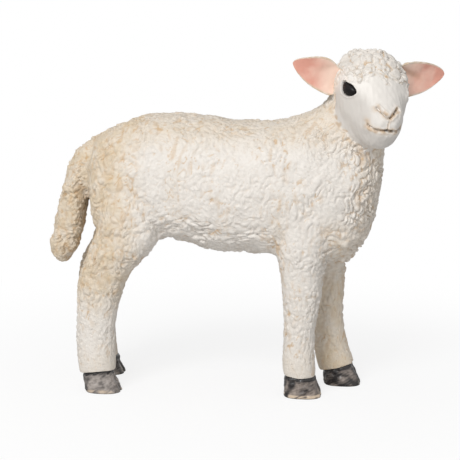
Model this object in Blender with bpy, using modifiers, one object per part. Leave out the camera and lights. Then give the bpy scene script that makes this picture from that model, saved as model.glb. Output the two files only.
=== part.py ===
"""Toy lamb: a small moulded farm figure, pegged and glued together from separate mouldings.

Frame: +X runs from tail to chest, +Y is the lamb's left, +Z is up, the soles stand on z = 0.
The pieces are laid out with the back of the rump at x = 0, and one empty then moves them all
so that the origin is the middle of the footprint.
"""
import math

import bmesh
import bpy
import numpy as np
from mathutils import Matrix, Vector

MM = 0.001

# Fits
joint_gap = 0.3 * MM          # between two glued faces
peg_clearance = 0.12 * MM     # round a peg, and round an eye
peg_end_clearance = 0.4 * MM  # glue space under a peg's end
bond_depth = 1.0 * MM         # how far a peg or pin runs back into its own piece
overrun = 2.0 * MM            # how far a cutter runs past what it cuts

# Torso
torso_length = 34.4 * MM
torso_depth = 16.5 * MM
torso_width = 13.4 * MM
belly_height = 16.5 * MM
pin_diameter = 2.0 * MM
pin_length = 2.4 * MM

# Head
head_length = 11.4 * MM
head_height = 9.8 * MM
head_width = 8.6 * MM
neck_peg_diameter = 4.2 * MM
neck_peg_length = 4.0 * MM
eye_length = 1.7 * MM
eye_height = 1.35 * MM
eye_bulge = 0.75 * MM

# Ears
ear_length = 5.6 * MM
ear_breadth = 3.8 * MM
ear_thickness = 0.8 * MM
ear_cup = 0.8 * MM
ear_peg_diameter = 0.9 * MM
ear_peg_length = 1.6 * MM

# Tail
tail_reach = 5.7 * MM
tail_drop = 15.5 * MM
tail_width = 4.6 * MM
tail_stand = 0.4 * MM         # how far behind the rump the tail's flat seat lies
tail_peg_diameter = 2.4 * MM
tail_peg_length = 3.2 * MM

# Legs
rear_leg_breadth = 4.7 * MM
front_leg_breadth = 3.7 * MM
leg_width = 4.0 * MM
rear_stance = 8.2 * MM        # between the rear soles' middles
front_stance = 6.0 * MM
leg_seat_drop = 1.9 * MM      # how far under the belly line the legs plug on
leg_peg_diameter = 2.4 * MM
leg_peg_length = 3.0 * MM

# Fleece: rounded curls that stand out on the crown and the tail
curl_spacing = 1.7 * MM
curl_height = 0.85 * MM
curl_fade = 0.9 * MM          # how far from their edge the curls reach full height

# Hooves
hoof_length = 4.3 * MM
hoof_width = 3.5 * MM
hoof_height = 2.2 * MM
cleft_width = 0.45 * MM
hoof_peg_diameter = 1.2 * MM
hoof_peg_length = 1.5 * MM

# Torso slices from rump to throat: x and height of the back line, x and height of the belly
# line, width, squareness. x is in shares of the length, heights in shares of the depth.
torso_shares = (
    (0.00, 0.69, 0.00, 0.27, 0.38, 2.2),
    (0.02, 0.83, 0.01, 0.13, 0.73, 2.4),
    (0.08, 0.91, 0.06, 0.06, 0.89, 2.6),
    (0.18, 0.98, 0.17, 0.07, 0.95, 2.6),
    (0.29, 0.99, 0.28, 0.10, 0.94, 2.5),
    (0.40, 0.97, 0.40, 0.02, 0.97, 2.3),
    (0.52, 0.94, 0.52, -0.01, 1.01, 2.3),
    (0.63, 0.94, 0.65, -0.01, 1.00, 2.4),
    (0.70, 0.97, 0.76, -0.05, 0.95, 2.5),
    (0.76, 1.03, 0.91, -0.06, 0.86, 2.4),
    (0.79, 1.09, 0.97, 0.16, 0.76, 2.2),
    (0.82, 1.15, 0.99, 0.45, 0.69, 2.2),
    (0.85, 1.21, 1.00, 0.71, 0.61, 2.1),
    (0.87, 1.28, 1.00, 0.90, 0.50, 2.0),
)
neck_seat_shares = ((0.755, 1.05), (0.99, 0.54))
pin_place_shares = ((0.27, 0.55), (0.60, 0.50))

# Head slices from the back of the skull to the nose, measured from the middle between the ear
# roots: forward and up of the top, forward and up of the underside, width, squareness.
head_shares = (
    (-0.33, 0.17, -0.31, -0.12, 0.38, 2.0),
    (-0.27, 0.28, -0.25, -0.29, 0.73, 2.1),
    (-0.14, 0.35, -0.13, -0.42, 0.92, 2.1),
    (0.02, 0.38, 0.02, -0.52, 0.99, 2.2),
    (0.17, 0.33, 0.13, -0.58, 0.94, 2.3),
    (0.30, 0.21, 0.25, -0.62, 0.80, 2.3),
    (0.42, 0.05, 0.37, -0.64, 0.66, 2.3),
    (0.52, -0.08, 0.48, -0.64, 0.57, 2.4),
    (0.60, -0.17, 0.57, -0.60, 0.48, 2.3),
    (0.64, -0.25, 0.63, -0.48, 0.29, 2.1),
)
head_place_shares = (0.945, 1.22)
head_side_share = -0.11       # the head hangs over to the lamb's right, in torso widths
head_yaw = math.radians(-66)
head_pitch = math.radians(15)
head_roll = math.radians(5)
eye_place_shares = (0.215, 0.385, -0.03)
eye_turn = math.radians(64)
eye_slant = math.radians(28)
crown_edge_shares = (0.28, 0.11)  # forward and up of the line where the crown's curls begin

# Ear outline from root to tip: place along the ear, half breadth, rise of the middle line.
ear_shares = (
    (0.00, 0.70, 0.00),
    (0.17, 0.92, 0.00),
    (0.36, 1.02, 0.02),
    (0.56, 0.98, 0.06),
    (0.75, 0.78, 0.12),
    (0.90, 0.48, 0.18),
    (1.00, 0.14, 0.22),
)
ear_place_shares = (-0.01, 0.46, 0.04)
ear_rise = math.radians(1)
ear_sweep = math.radians(8)

# Tail slices from root to tip: x and height of the outer side, x and height of the inner side,
# width, squareness. x is in shares of the reach, heights in shares of the drop.
tail_shares = (
    (0.30, -0.02, 0.44, -0.33, 0.78, 2.0),
    (-0.12, -0.02, 0.25, -0.37, 0.96, 2.1),
    (-0.41, -0.14, 0.07, -0.43, 1.00, 2.1),
    (-0.59, -0.30, -0.04, -0.48, 1.00, 2.1),
    (-0.71, -0.45, -0.11, -0.56, 0.96, 2.1),
    (-0.78, -0.61, -0.17, -0.67, 0.93, 2.1),
    (-0.90, -0.76, -0.25, -0.78, 0.91, 2.1),
    (-0.97, -0.89, -0.35, -0.88, 0.83, 2.1),
    (-0.92, -0.97, -0.50, -0.97, 0.58, 2.0),
    (-0.80, -1.00, -0.62, -1.00, 0.28, 2.0),
)
tail_root_share = 0.84
tail_peg_share = -0.29

# Leg slices from hoof to hip, measured from the sole's middle: height in shares of the belly
# height, rear and front edges in shares of the breadth, width, nearness to the middle plane,
# and how much of the leg's step the slice has taken.
rear_leg_shares = (
    (0.09, -0.60, 0.36, 0.92, 1.00, 0.2),
    (0.14, -0.60, 0.34, 0.97, 1.00, 0.5),
    (0.25, -0.66, 0.34, 1.02, 1.00, 0.9),
    (0.38, -0.68, 0.32, 0.98, 1.00, 1.0),
    (0.55, -0.65, 0.36, 1.02, 1.00, 1.0),
    (0.73, -0.64, 0.52, 1.16, 0.99, 1.0),
    (0.84, -0.60, 0.70, 1.30, 0.98, 1.0),
    (0.96, -0.47, 1.00, 1.42, 0.97, 1.0),
    (1.07, -0.20, 1.46, 1.50, 0.96, 1.0),
    (1.21, -0.06, 1.64, 1.54, 0.93, 1.0),
    (1.42, -0.06, 1.42, 1.46, 0.88, 1.0),
    (1.58, 0.20, 1.10, 1.10, 0.82, 1.0),
)
front_leg_shares = (
    (0.09, -0.60, 0.42, 0.88, 1.00, 0.0),
    (0.14, -0.64, 0.42, 0.91, 1.00, 0.05),
    (0.23, -0.71, 0.40, 0.97, 1.00, 0.25),
    (0.35, -0.67, 0.34, 0.91, 1.00, 0.45),
    (0.53, -0.63, 0.37, 0.98, 1.01, 0.75),
    (0.70, -0.68, 0.56, 1.10, 1.03, 0.95),
    (0.87, -0.76, 0.63, 1.25, 1.06, 1.0),
    (0.98, -0.84, 0.66, 1.36, 1.09, 1.0),
    (1.15, -0.98, 0.92, 1.46, 1.12, 1.0),
    (1.39, -0.90, 1.15, 1.42, 1.10, 1.0),
    (1.58, -0.50, 0.90, 1.10, 1.00, 1.0),
)

# Each leg: its kind, which side, where its sole stands along the torso, its step forward or
# back from hoof to hip in leg breadths, and how much broader it is at the pastern.
leg_places = {
    "rear_right_leg": ("rear", -1, 0.05, 0.0, 0.0),
    "rear_left_leg": ("rear", 1, 0.015, -0.15, 0.0),
    "front_right_leg": ("front", -1, 0.74, 0.0, 0.0),
    "front_left_leg": ("front", 1, 0.863, -0.58, 0.16),
}
hip_peg_shares = {"rear": 0.20, "front": -0.07}

# Hoof slices from sole to coronet: height, back and front edges, width.
hoof_shares = (
    (0.00, -0.51, 0.49, 0.94),
    (0.10, -0.54, 0.52, 1.00),
    (0.60, -0.52, 0.43, 0.97),
    (1.00, -0.49, 0.32, 0.90),
)
hoof_square_share = 2.6
cleft_reach_share = 0.05
hoof_peg_share = -0.06

ring_count = 16
slim_ring_count = 12
curl_level_share = 0.28        # how much of the pattern's range stands out from the form
rod_count = 20
ear_row_count = 7
eye_turn_count = 16
eye_ring_count = 8
leg_square_share = 2.2

fleece_colour = (0.86, 0.82, 0.74, 1.0)
face_colour = (0.88, 0.86, 0.83, 1.0)
ear_colour = (0.90, 0.62, 0.56, 1.0)
eye_colour = (0.01, 0.01, 0.01, 1.0)
hoof_colour = (0.10, 0.08, 0.07, 1.0)


def clear_scene():
    for item in list(bpy.data.objects):
        bpy.data.objects.remove(item, do_unlink=True)


def make_collection(name):
    collection = bpy.data.collections.new(name)
    bpy.context.scene.collection.children.link(collection)
    return collection


def make_material(name, colour, roughness):
    material = bpy.data.materials.new(name)
    material.use_nodes = True
    shader = material.node_tree.nodes["Principled BSDF"]
    shader.inputs["Base Color"].default_value = colour
    shader.inputs["Roughness"].default_value = roughness
    shader.inputs["Metallic"].default_value = 0.0
    material.diffuse_color = colour
    return material


def new_object(name, bm, collection):
    mesh = bpy.data.meshes.new(name)
    bm.to_mesh(mesh)
    bm.free()
    item = bpy.data.objects.new(name, mesh)
    collection.objects.link(item)
    return item


def bake(item):
    """Replace an object's mesh by what its modifiers make of it."""
    bpy.context.view_layer.update()
    graph = bpy.context.evaluated_depsgraph_get()
    mesh = bpy.data.meshes.new_from_object(item.evaluated_get(graph))
    item.modifiers.clear()
    item.data = mesh
    return item


def ring(middle, side, rise, square, points):
    """Points round an oval: side and rise are its half axes, square its squareness.

    Subdividing draws a ring in by a known share, so the cage is that much larger.
    """
    swell = 3.0 / (2.0 + math.cos(2.0 * math.pi / points))
    places = []
    for i in range(points):
        angle = 2.0 * math.pi * i / points
        across = math.copysign(abs(math.cos(angle)) ** (2.0 / square), math.cos(angle))
        along = math.copysign(abs(math.sin(angle)) ** (2.0 / square), math.sin(angle))
        places.append(middle + side * (across * swell) + rise * (along * swell))
    return places


def slice_ring(top, bottom, width, square, points):
    """An oval between a top and a bottom point in the plane y = 0."""
    side = Vector((0, width / 2, 0))
    return ring((top + bottom) / 2, side, (top - bottom) / 2, square, points)


def loft(name, rings, collection, levels=1):
    """Skin a row of rings, close both ends and subdivide the cage."""
    bm = bmesh.new()
    rows = [[bm.verts.new(place) for place in places] for places in rings]
    for first, second in zip(rows, rows[1:]):
        for i in range(len(first)):
            j = (i + 1) % len(first)
            bm.faces.new((first[i], first[j], second[j], second[i]))
    bm.faces.new(rows[0])
    bm.faces.new(rows[-1])
    bmesh.ops.recalc_face_normals(bm, faces=bm.faces)
    item = new_object(name, bm, collection)
    if levels:
        subdivision = item.modifiers.new("soft_form", "SUBSURF")
        subdivision.levels = levels
        subdivision.render_levels = levels
        bake(item)
    return item


def curl(item, fullness):
    """Raise round curls on a solid, their height at a place set by a function from 0 to 1."""
    group = item.vertex_groups.new(name="fleece")
    for vert in item.data.vertices:
        group.add([vert.index], fullness(vert.co), "REPLACE")
    pattern = bpy.data.textures.new(item.name + "_curls", "VORONOI")
    pattern.distance_metric = "DISTANCE_SQUARED"
    pattern.noise_scale = curl_spacing
    relief = item.modifiers.new("curls", "DISPLACE")
    relief.texture = pattern
    relief.texture_coords = "LOCAL"
    relief.vertex_group = group.name
    relief.strength = -curl_height
    relief.mid_level = curl_level_share
    return bake(item)


def copy_of(item, name, collection):
    twin = bpy.data.objects.new(name, item.data.copy())
    twin.matrix_world = item.matrix_world.copy()
    collection.objects.link(twin)
    return twin


def cut_flat(item, point, normal):
    """Keep what lies behind a plane and close the cut with one flat face."""
    bm = bmesh.new()
    bm.from_mesh(item.data)
    everything = bm.verts[:] + bm.edges[:] + bm.faces[:]
    bmesh.ops.bisect_plane(
        bm, geom=everything, plane_co=point, plane_no=normal, clear_outer=True)
    rim = [edge for edge in bm.edges if edge.is_boundary]
    if rim:
        bmesh.ops.edgeloop_fill(bm, edges=rim)
    bmesh.ops.recalc_face_normals(bm, faces=bm.faces)
    bm.to_mesh(item.data)
    bm.free()
    return item


def combine(item, other, operation):
    """Join or cut with another solid, which is used up."""
    modifier = item.modifiers.new(operation.lower(), "BOOLEAN")
    modifier.operation = operation
    modifier.object = other
    other.hide_render = True
    other.display_type = "WIRE"
    bake(item)
    bpy.data.objects.remove(other, do_unlink=True)
    return item


def rod(name, start, end, diameter, collection):
    """A closed round rod from one point to another."""
    bm = bmesh.new()
    axis = end - start
    bmesh.ops.create_cone(
        bm, cap_ends=True, segments=rod_count, radius1=diameter / 2, radius2=diameter / 2,
        depth=axis.length)
    turn = axis.to_track_quat("Z", "Y").to_matrix().to_4x4()
    bm.transform(Matrix.Translation((start + end) / 2) @ turn)
    return new_object(name, bm, collection)


def peg(name, seat, direction, diameter, length, collection):
    """A peg that stands out of its own piece's seat and is bonded into that piece."""
    return rod(name, seat - direction * bond_depth, seat + direction * length, diameter,
               collection)


def socket(name, seat, direction, diameter, length, collection):
    """The hole for such a peg, open past the seat."""
    return rod(name, seat - direction * overrun,
               seat + direction * (length + peg_end_clearance),
               diameter + 2 * peg_clearance, collection)


def grown(item, amount, collection):
    """A cutter that is a copy of a solid, larger all round by a clearance."""
    twin = copy_of(item, item.name + "_cutter", collection)
    bm = bmesh.new()
    bm.from_mesh(twin.data)
    bm.normal_update()
    moves = [vert.normal * amount for vert in bm.verts]
    for vert, move in zip(bm.verts, moves):
        vert.co += move
    bm.to_mesh(twin.data)
    bm.free()
    return twin


def torso_point(x_share, z_share):
    return Vector((torso_length * x_share, 0, belly_height + torso_depth * z_share))


def neck_seat():
    """Middle and outward normal of the flat face that the head is glued to."""
    nape = torso_point(*neck_seat_shares[0])
    throat = torso_point(*neck_seat_shares[1])
    along = (throat - nape).normalized()
    return (nape + throat) / 2, Vector((-along.z, 0, along.x))


def head_frame():
    """Place and turn of the head: its own +X looks forward, +Y to its left, +Z up."""
    place = torso_point(*head_place_shares)
    place.y = torso_width * head_side_share
    turn = (Matrix.Rotation(head_yaw, 4, "Z") @ Matrix.Rotation(head_pitch, 4, "Y")
            @ Matrix.Rotation(-head_roll, 4, "X"))
    return Matrix.Translation(place) @ turn


def head_point(shares):
    return Vector((head_length * shares[0], head_width * shares[1], head_height * shares[2]))


def leg_seat_height():
    return belly_height - leg_seat_drop


def leg_line(name, height_share, taken):
    """Middle of a leg at one height, before its own bends."""
    kind, side, place_share, step_share, _ = leg_places[name]
    breadth = rear_leg_breadth if kind == "rear" else front_leg_breadth
    stance = rear_stance if kind == "rear" else front_stance
    x = torso_length * place_share + breadth * step_share * taken
    return Vector((x, side * stance / 2, belly_height * height_share))


def make_trunk(collection):
    """The whole rump, barrel, chest and neck before anything is cut from it."""
    rings = []
    for top_x, top_z, low_x, low_z, width, square in torso_shares:
        rings.append(slice_ring(torso_point(top_x, top_z), torso_point(low_x, low_z),
                                torso_width * width, square, ring_count))
    return loft("trunk", rings, collection)


def make_limb(name, collection):
    """A whole leg from hoof joint to hip, with the part that lies inside the torso."""
    kind, _, _, _, spread_share = leg_places[name]
    breadth = rear_leg_breadth if kind == "rear" else front_leg_breadth
    table = rear_leg_shares if kind == "rear" else front_leg_shares
    rings = []
    for height, rear, front, width, nearness, taken in table:
        middle = leg_line(name, height, taken)
        middle.x += breadth * (rear + front) / 2
        middle.y *= nearness
        spread = 1 + spread_share * (1 - taken)
        length_axis = Vector((breadth * spread * (front - rear) / 2, 0, 0))
        width_axis = Vector((0, leg_width * width / 2, 0))
        rings.append(ring(middle, length_axis, width_axis, leg_square_share, slim_ring_count))
    return loft(name, rings, collection)


def tail_seat_point():
    """Middle of the flat face behind the rump that the tail is glued to."""
    seat = torso_point(0, tail_root_share)
    seat.x -= tail_stand
    seat.z += tail_drop * tail_peg_share
    return seat


def make_tail(collection):
    """A whole tail from inside the rump to its tip, curly behind its seat."""
    root = torso_point(0, tail_root_share)
    rings = []
    for out_x, out_z, in_x, in_z, width, square in tail_shares:
        outer = root + Vector((tail_reach * out_x, 0, tail_drop * out_z))
        inner = root + Vector((tail_reach * in_x, 0, tail_drop * in_z))
        rings.append(slice_ring(outer, inner, tail_width * width, square, slim_ring_count))
    edge = tail_seat_point().x - joint_gap

    def fullness(place):
        return min(max((edge - place.x) / curl_fade, 0), 1)

    return curl(loft("tail", rings, collection, levels=2), fullness)


def make_skull(collection):
    """The head from the back of the skull to the nose, curly on its crown, without its neck."""
    frame = head_frame()
    rings = []
    for top_x, top_z, low_x, low_z, width, square in head_shares:
        top = head_point((top_x, 0, top_z))
        low = head_point((low_x, 0, low_z))
        places = slice_ring(top, low, head_width * width, square, ring_count)
        rings.append([frame @ place for place in places])
    edge = head_point((crown_edge_shares[0], 0, crown_edge_shares[1]))
    to_head = frame.inverted()

    def fullness(place):
        away = to_head @ place
        depth = min(away.z - edge.z, edge.x - away.x)
        return min(max(depth / curl_fade, 0), 1)

    return curl(loft("head", rings, collection, levels=2), fullness)


def ear_frame(side):
    """Place and turn of an ear: its own +X runs to the tip, +Y faces back, +Z up."""
    place = head_point((ear_place_shares[0], side * ear_place_shares[1], ear_place_shares[2]))
    outward = Vector((-math.sin(ear_sweep), side * math.cos(ear_sweep), 0))
    outward = outward * math.cos(ear_rise) + Vector((0, 0, math.sin(ear_rise)))
    back = (Vector((0, 0, side)).cross(outward)).normalized()
    rise = back.cross(outward).normalized() * -side
    turn = Matrix((outward, back, rise)).transposed().to_4x4()
    return head_frame() @ Matrix.Translation(place) @ turn


def make_ear(name, side, collection):
    """A cupped leaf of even thickness, hollow side forward, on a round peg."""
    frame = ear_frame(side)
    steps = np.linspace(-1.0, 1.0, ear_row_count)
    bm = bmesh.new()
    rows = []
    for along, half, rise in ear_shares:
        row = []
        for step in steps:
            up = ear_breadth * (half * step / 2 + rise)
            forward = ear_cup * half * step * step
            place = Vector((ear_length * along, -forward, up))
            row.append(bm.verts.new(frame @ place))
        rows.append(row)
    for first, second in zip(rows, rows[1:]):
        for i in range(len(first) - 1):
            bm.faces.new((first[i], first[i + 1], second[i + 1], second[i]))
    bmesh.ops.recalc_face_normals(bm, faces=bm.faces)
    ear = new_object(name, bm, collection)
    shell = ear.modifiers.new("thickness", "SOLIDIFY")
    shell.thickness = ear_thickness
    shell.offset = 0.0
    subdivision = ear.modifiers.new("soft_form", "SUBSURF")
    subdivision.levels = 1
    subdivision.render_levels = 1
    return bake(ear)


def ear_peg_ends(side):
    frame = ear_frame(side)
    root = frame @ Vector((0, 0, 0))
    inward = (frame.to_3x3() @ Vector((-1, 0, 0))).normalized()
    return root, inward


def make_eye(name, side, collection):
    """A small dome of an eye, longer than high, slanting down to the nose."""
    place = head_point((eye_place_shares[0], side * eye_place_shares[1], eye_place_shares[2]))
    bm = bmesh.new()
    bmesh.ops.create_uvsphere(bm, u_segments=eye_turn_count, v_segments=eye_ring_count,
                              radius=1.0)
    size = Matrix.Diagonal((eye_height / 2, eye_length / 2, eye_bulge, 1.0))
    look = Matrix.Rotation(side * eye_turn, 4, "Z") @ Matrix.Rotation(math.pi / 2, 4, "Y")
    slant = Matrix.Rotation(side * eye_slant, 4, "Z")
    bm.transform(head_frame() @ Matrix.Translation(place) @ look @ slant @ size)
    return new_object(name, bm, collection)


def make_hoof(name, leg, collection):
    """A cloven hoof with a flat sole, a cleft in front and a peg up into the leg."""
    sole = leg_line(leg, 0, 0)
    rings = []
    for height, back, front, width in hoof_shares:
        middle = sole + Vector((hoof_length * (back + front) / 2, 0, hoof_height * height))
        length_axis = Vector((hoof_length * (front - back) / 2, 0, 0))
        width_axis = Vector((0, hoof_width * width / 2, 0))
        rings.append(ring(middle, length_axis, width_axis, hoof_square_share, ring_count))
    hoof = loft(name, rings, collection, levels=0)
    cleft_back = sole.x + hoof_length * cleft_reach_share
    cleft_front = sole.x + hoof_length / 2 + overrun
    bm = bmesh.new()
    bmesh.ops.create_cube(bm, size=1.0)
    size = Matrix.Diagonal((cleft_front - cleft_back, cleft_width, hoof_height + 2 * overrun,
                            1.0))
    middle = Vector(((cleft_front + cleft_back) / 2, sole.y, hoof_height / 2))
    bm.transform(Matrix.Translation(middle) @ size)
    combine(hoof, new_object(name + "_cleft", bm, collection), "DIFFERENCE")
    seat = sole + Vector((hoof_length * hoof_peg_share, 0, hoof_height))
    combine(hoof, peg(name + "_peg", seat, Vector((0, 0, 1)), hoof_peg_diameter,
                      hoof_peg_length, collection), "UNION")
    return hoof


def hip_peg_place(name):
    """Middle of a leg's top face."""
    kind = leg_places[name][0]
    breadth = rear_leg_breadth if kind == "rear" else front_leg_breadth
    place = leg_line(name, 1, 1)
    place.x += breadth * hip_peg_shares[kind]
    place.z = leg_seat_height()
    return place


def make_leg(name, limb, collection):
    """The part of a limb under the torso: flat top with a peg, flat foot with a socket."""
    up = Vector((0, 0, 1))
    top = hip_peg_place(name)
    top.z -= joint_gap
    cut_flat(limb, top, up)
    foot = leg_line(name, 0, 0) + Vector((hoof_length * hoof_peg_share, 0, hoof_height))
    cut_flat(limb, foot + up * joint_gap, -up)
    combine(limb, socket(name + "_socket", foot + up * joint_gap, up, hoof_peg_diameter,
                         hoof_peg_length - joint_gap, collection), "DIFFERENCE")
    combine(limb, peg(name + "_peg", top, up, leg_peg_diameter,
                      leg_peg_length + joint_gap, collection), "UNION")
    return limb


def make_torso_half(name, side, trunk, collection):
    """One half of the torso: split down the middle plane, with the sockets it shares."""
    outward = Vector((0, side, 0))
    half = copy_of(trunk, name, collection)
    cut_flat(half, outward * joint_gap / 2, -outward)
    for pin_x, pin_z in pin_place_shares:
        seat = torso_point(pin_x, pin_z)
        if side > 0:
            pin = rod("pin", seat + outward * (joint_gap / 2 + bond_depth),
                      seat - outward * pin_length, pin_diameter, collection)
            combine(half, pin, "UNION")
        else:
            hole = socket("pin_hole", seat, outward, pin_diameter, pin_length, collection)
            combine(half, hole, "DIFFERENCE")
    return half


def build():
    clear_scene()
    parts = make_collection("toy_lamb")
    cutters = make_collection("toy_lamb_cutters")
    up = Vector((0, 0, 1))

    trunk = make_trunk(cutters)
    seat, seat_normal = neck_seat()
    collar = copy_of(trunk, "collar", cutters)
    cut_flat(trunk, seat - seat_normal * joint_gap / 2, seat_normal)
    cut_flat(collar, seat + seat_normal * joint_gap / 2, -seat_normal)

    head = make_skull(parts)
    combine(head, collar, "UNION")
    combine(head, peg("neck_peg", seat + seat_normal * joint_gap / 2, -seat_normal,
                      neck_peg_diameter, neck_peg_length + joint_gap / 2, cutters), "UNION")
    pieces = {"head": head}

    tail = make_tail(parts)
    tail_seat = tail_seat_point()
    back = Vector((-1, 0, 0))
    stump = copy_of(tail, "tail_stump", cutters)
    cut_flat(stump, tail_seat, back)
    cut_flat(tail, tail_seat + back * joint_gap, -back)
    combine(trunk, stump, "UNION")
    combine(tail, peg("tail_peg", tail_seat + back * joint_gap, -back, tail_peg_diameter,
                      tail_peg_length + joint_gap, cutters), "UNION")
    pieces["tail"] = tail

    for name in leg_places:
        limb = make_limb(name, parts)
        hip = copy_of(limb, name + "_hip", cutters)
        cut_flat(hip, hip_peg_place(name), -up)
        combine(trunk, hip, "UNION")
        pieces[name] = make_leg(name, limb, cutters)
        hoof_name = name.replace("_leg", "_hoof")
        pieces[hoof_name] = make_hoof(hoof_name, name, parts)

    for name in leg_places:
        combine(trunk, socket("hip_socket", hip_peg_place(name), up, leg_peg_diameter,
                              leg_peg_length, cutters), "DIFFERENCE")
    combine(trunk, socket("neck_socket", seat, -seat_normal, neck_peg_diameter,
                          neck_peg_length, cutters), "DIFFERENCE")
    combine(trunk, socket("tail_socket", tail_seat, -back, tail_peg_diameter,
                          tail_peg_length, cutters), "DIFFERENCE")
    pieces["torso_left_half"] = make_torso_half("torso_left_half", 1, trunk, parts)
    pieces["torso_right_half"] = make_torso_half("torso_right_half", -1, trunk, parts)
    bpy.data.objects.remove(trunk, do_unlink=True)

    for side, word in ((1, "left"), (-1, "right")):
        eye = make_eye(word + "_eye", side, parts)
        combine(head, grown(eye, peg_clearance, cutters), "DIFFERENCE")
        pieces[eye.name] = eye
    for side, word in ((1, "left"), (-1, "right")):
        ear = make_ear(word + "_ear", side, parts)
        combine(ear, grown(head, joint_gap, cutters), "DIFFERENCE")
        root, inward = ear_peg_ends(side)
        combine(ear, peg("ear_peg", root, inward, ear_peg_diameter, ear_peg_length, cutters),
                "UNION")
        combine(head, socket("ear_socket", root, inward, ear_peg_diameter, ear_peg_length,
                             cutters), "DIFFERENCE")
        pieces[ear.name] = ear
    finish(pieces, parts)


def finish(pieces, parts):
    """Colours, shading, and the move that puts the footprint's middle at the origin."""
    fleece = ("fleece", fleece_colour, 0.65)
    looks = {"head": ("face", face_colour, 0.55)}
    for name in pieces:
        if name.endswith("_ear"):
            looks[name] = ("ear", ear_colour, 0.5)
        if name.endswith("_eye"):
            looks[name] = ("eye", eye_colour, 0.1)
        if name.endswith("_hoof"):
            looks[name] = ("hoof", hoof_colour, 0.6)
    corners = []
    for name, item in pieces.items():
        for vert in item.data.vertices:
            corners.append(vert.co[:])
        label, colour, roughness = looks.get(name, fleece)
        item.data.materials.clear()
        item.data.materials.append(make_material(name + "_" + label, colour, roughness))
        item.data.shade_smooth()
        item.data.set_sharp_from_angle(angle=math.radians(40))
        if item.name not in parts.objects:
            parts.objects.link(item)
    corners = np.array(corners)
    middle = (corners.min(axis=0) + corners.max(axis=0)) / 2
    anchor = bpy.data.objects.new("lamb_origin", None)
    anchor.location = (-middle[0], -middle[1], 0)
    parts.objects.link(anchor)
    for item in pieces.values():
        item.parent = anchor


build()
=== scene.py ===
"""Looks of the toy lamb, a small moulded figure painted by hand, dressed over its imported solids.

Lengths in this file are millimetres; a piece turns to metres as it is put into the scene.
"""
import math

import bmesh
import bpy
import numpy as np
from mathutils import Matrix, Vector


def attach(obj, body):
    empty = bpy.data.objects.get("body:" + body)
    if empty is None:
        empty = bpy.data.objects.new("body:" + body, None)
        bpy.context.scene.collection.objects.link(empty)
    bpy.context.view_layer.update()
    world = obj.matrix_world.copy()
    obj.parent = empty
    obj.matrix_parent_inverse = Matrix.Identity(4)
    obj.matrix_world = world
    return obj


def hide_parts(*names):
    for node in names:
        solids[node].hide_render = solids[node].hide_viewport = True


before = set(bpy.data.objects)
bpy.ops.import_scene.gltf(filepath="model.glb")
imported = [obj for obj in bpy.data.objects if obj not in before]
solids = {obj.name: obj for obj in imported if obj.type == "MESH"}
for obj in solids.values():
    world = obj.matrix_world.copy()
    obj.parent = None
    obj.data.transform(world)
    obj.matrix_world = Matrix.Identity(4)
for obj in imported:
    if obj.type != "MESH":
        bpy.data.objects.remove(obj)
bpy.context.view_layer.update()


# The clay form. On the real toy the torso, neck, head, tail and legs run into each other with no
# edge, as they were modelled in clay before the mould was made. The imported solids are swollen
# until their gaps close, skinned over as one surface, let back and smoothed.
to_metres = 0.001
skin_cell = 0.24
swelling = 0.22
half_way = 0.5
no_shrinking = 1.04
lumps_rounds = 12
melt_rounds = 60
clay_rounds = 4
body_names = ("torso_left_half", "torso_right_half", "head", "tail", "front_left_leg",
              "front_right_leg", "rear_left_leg", "rear_right_leg")
plug_names = ("left_eye", "right_eye")
head_middle = np.array((14.736, -1.090, 36.630))
head_forward = np.array((0.3929, -0.8824, -0.2588))
head_left = np.array((0.9009, 0.4258, -0.0842))
head_up = np.array((0.1845, -0.2001, 0.9623))
ear_root = np.array((-0.114, 3.956, 0.392))
ear_plug_radius = 0.95
ear_plug_depth = 0.75
body_middle = 0.3845
neck_place = np.array((12.242, body_middle, 29.618))
neck_normal = np.array((0.7211, 0.0, 0.6928))
neck_melt = 1.9
shoulder_start = 5.0
tail_seat = -18.322
tail_seat_low = 20.0
tail_melt = 1.2
tail_melt_low = 23.0
leg_seat = 14.45
leg_melt = 1.6
leg_melt_up = 0.4
leg_melt_back = -19.5


def read_all(items, name, width=1, kind=float):
    """One property of every item of a mesh, with this many numbers a row."""
    values = np.empty(len(items) * width, kind)
    items.foreach_get(name, values)
    return values.reshape(-1, width) if width > 1 else values


def put_points(mesh, points):
    """Moves the points of a mesh to these places."""
    mesh.vertices.foreach_set("co", points.ravel())
    mesh.update()


def near(gap, width):
    """A bell: one at no gap, and e to the minus square of the gap over the width beside it."""
    return np.exp(-(gap / width) ** 2)


def corners_of(name):
    """Points in millimetres and corner triples of a solid, points at the same place made one."""
    mesh = solids[name].data
    points = np.round(read_all(mesh.vertices, "co", 3) / to_metres, 3)
    joined, place = np.unique(points, axis=0, return_inverse=True)
    corners = read_all(mesh.loops, "vertex_index", kind=int)
    return joined, place.ravel()[corners].reshape(-1, 3)


def outward(points, triangles):
    """Unit normal of each point: the sum of the area vectors of the triangles that meet there."""
    first, second, third = (points[triangles[:, corner]] for corner in range(3))
    area = np.cross(second - first, third - first)
    total = np.zeros_like(points)
    for corner in range(3):
        np.add.at(total, triangles[:, corner], area)
    return total / np.maximum(np.linalg.norm(total, axis=1, keepdims=True), 1e-9)


def full_turn(steps):
    """Evenly spaced angles all the way round."""
    return np.linspace(0, 2 * math.pi, steps, endpoint=False)


def ring_quads(rows, turns):
    """The corners of the squares between neighbouring rings, for points laid out ring by ring."""
    across = np.arange(turns)
    beside = (across + 1) % turns
    down = np.arange(rows - 1)[:, None] * turns
    return np.stack([down + across, down + beside, down + turns + beside, down + turns + across],
                    2).reshape(-1, 4)


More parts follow.
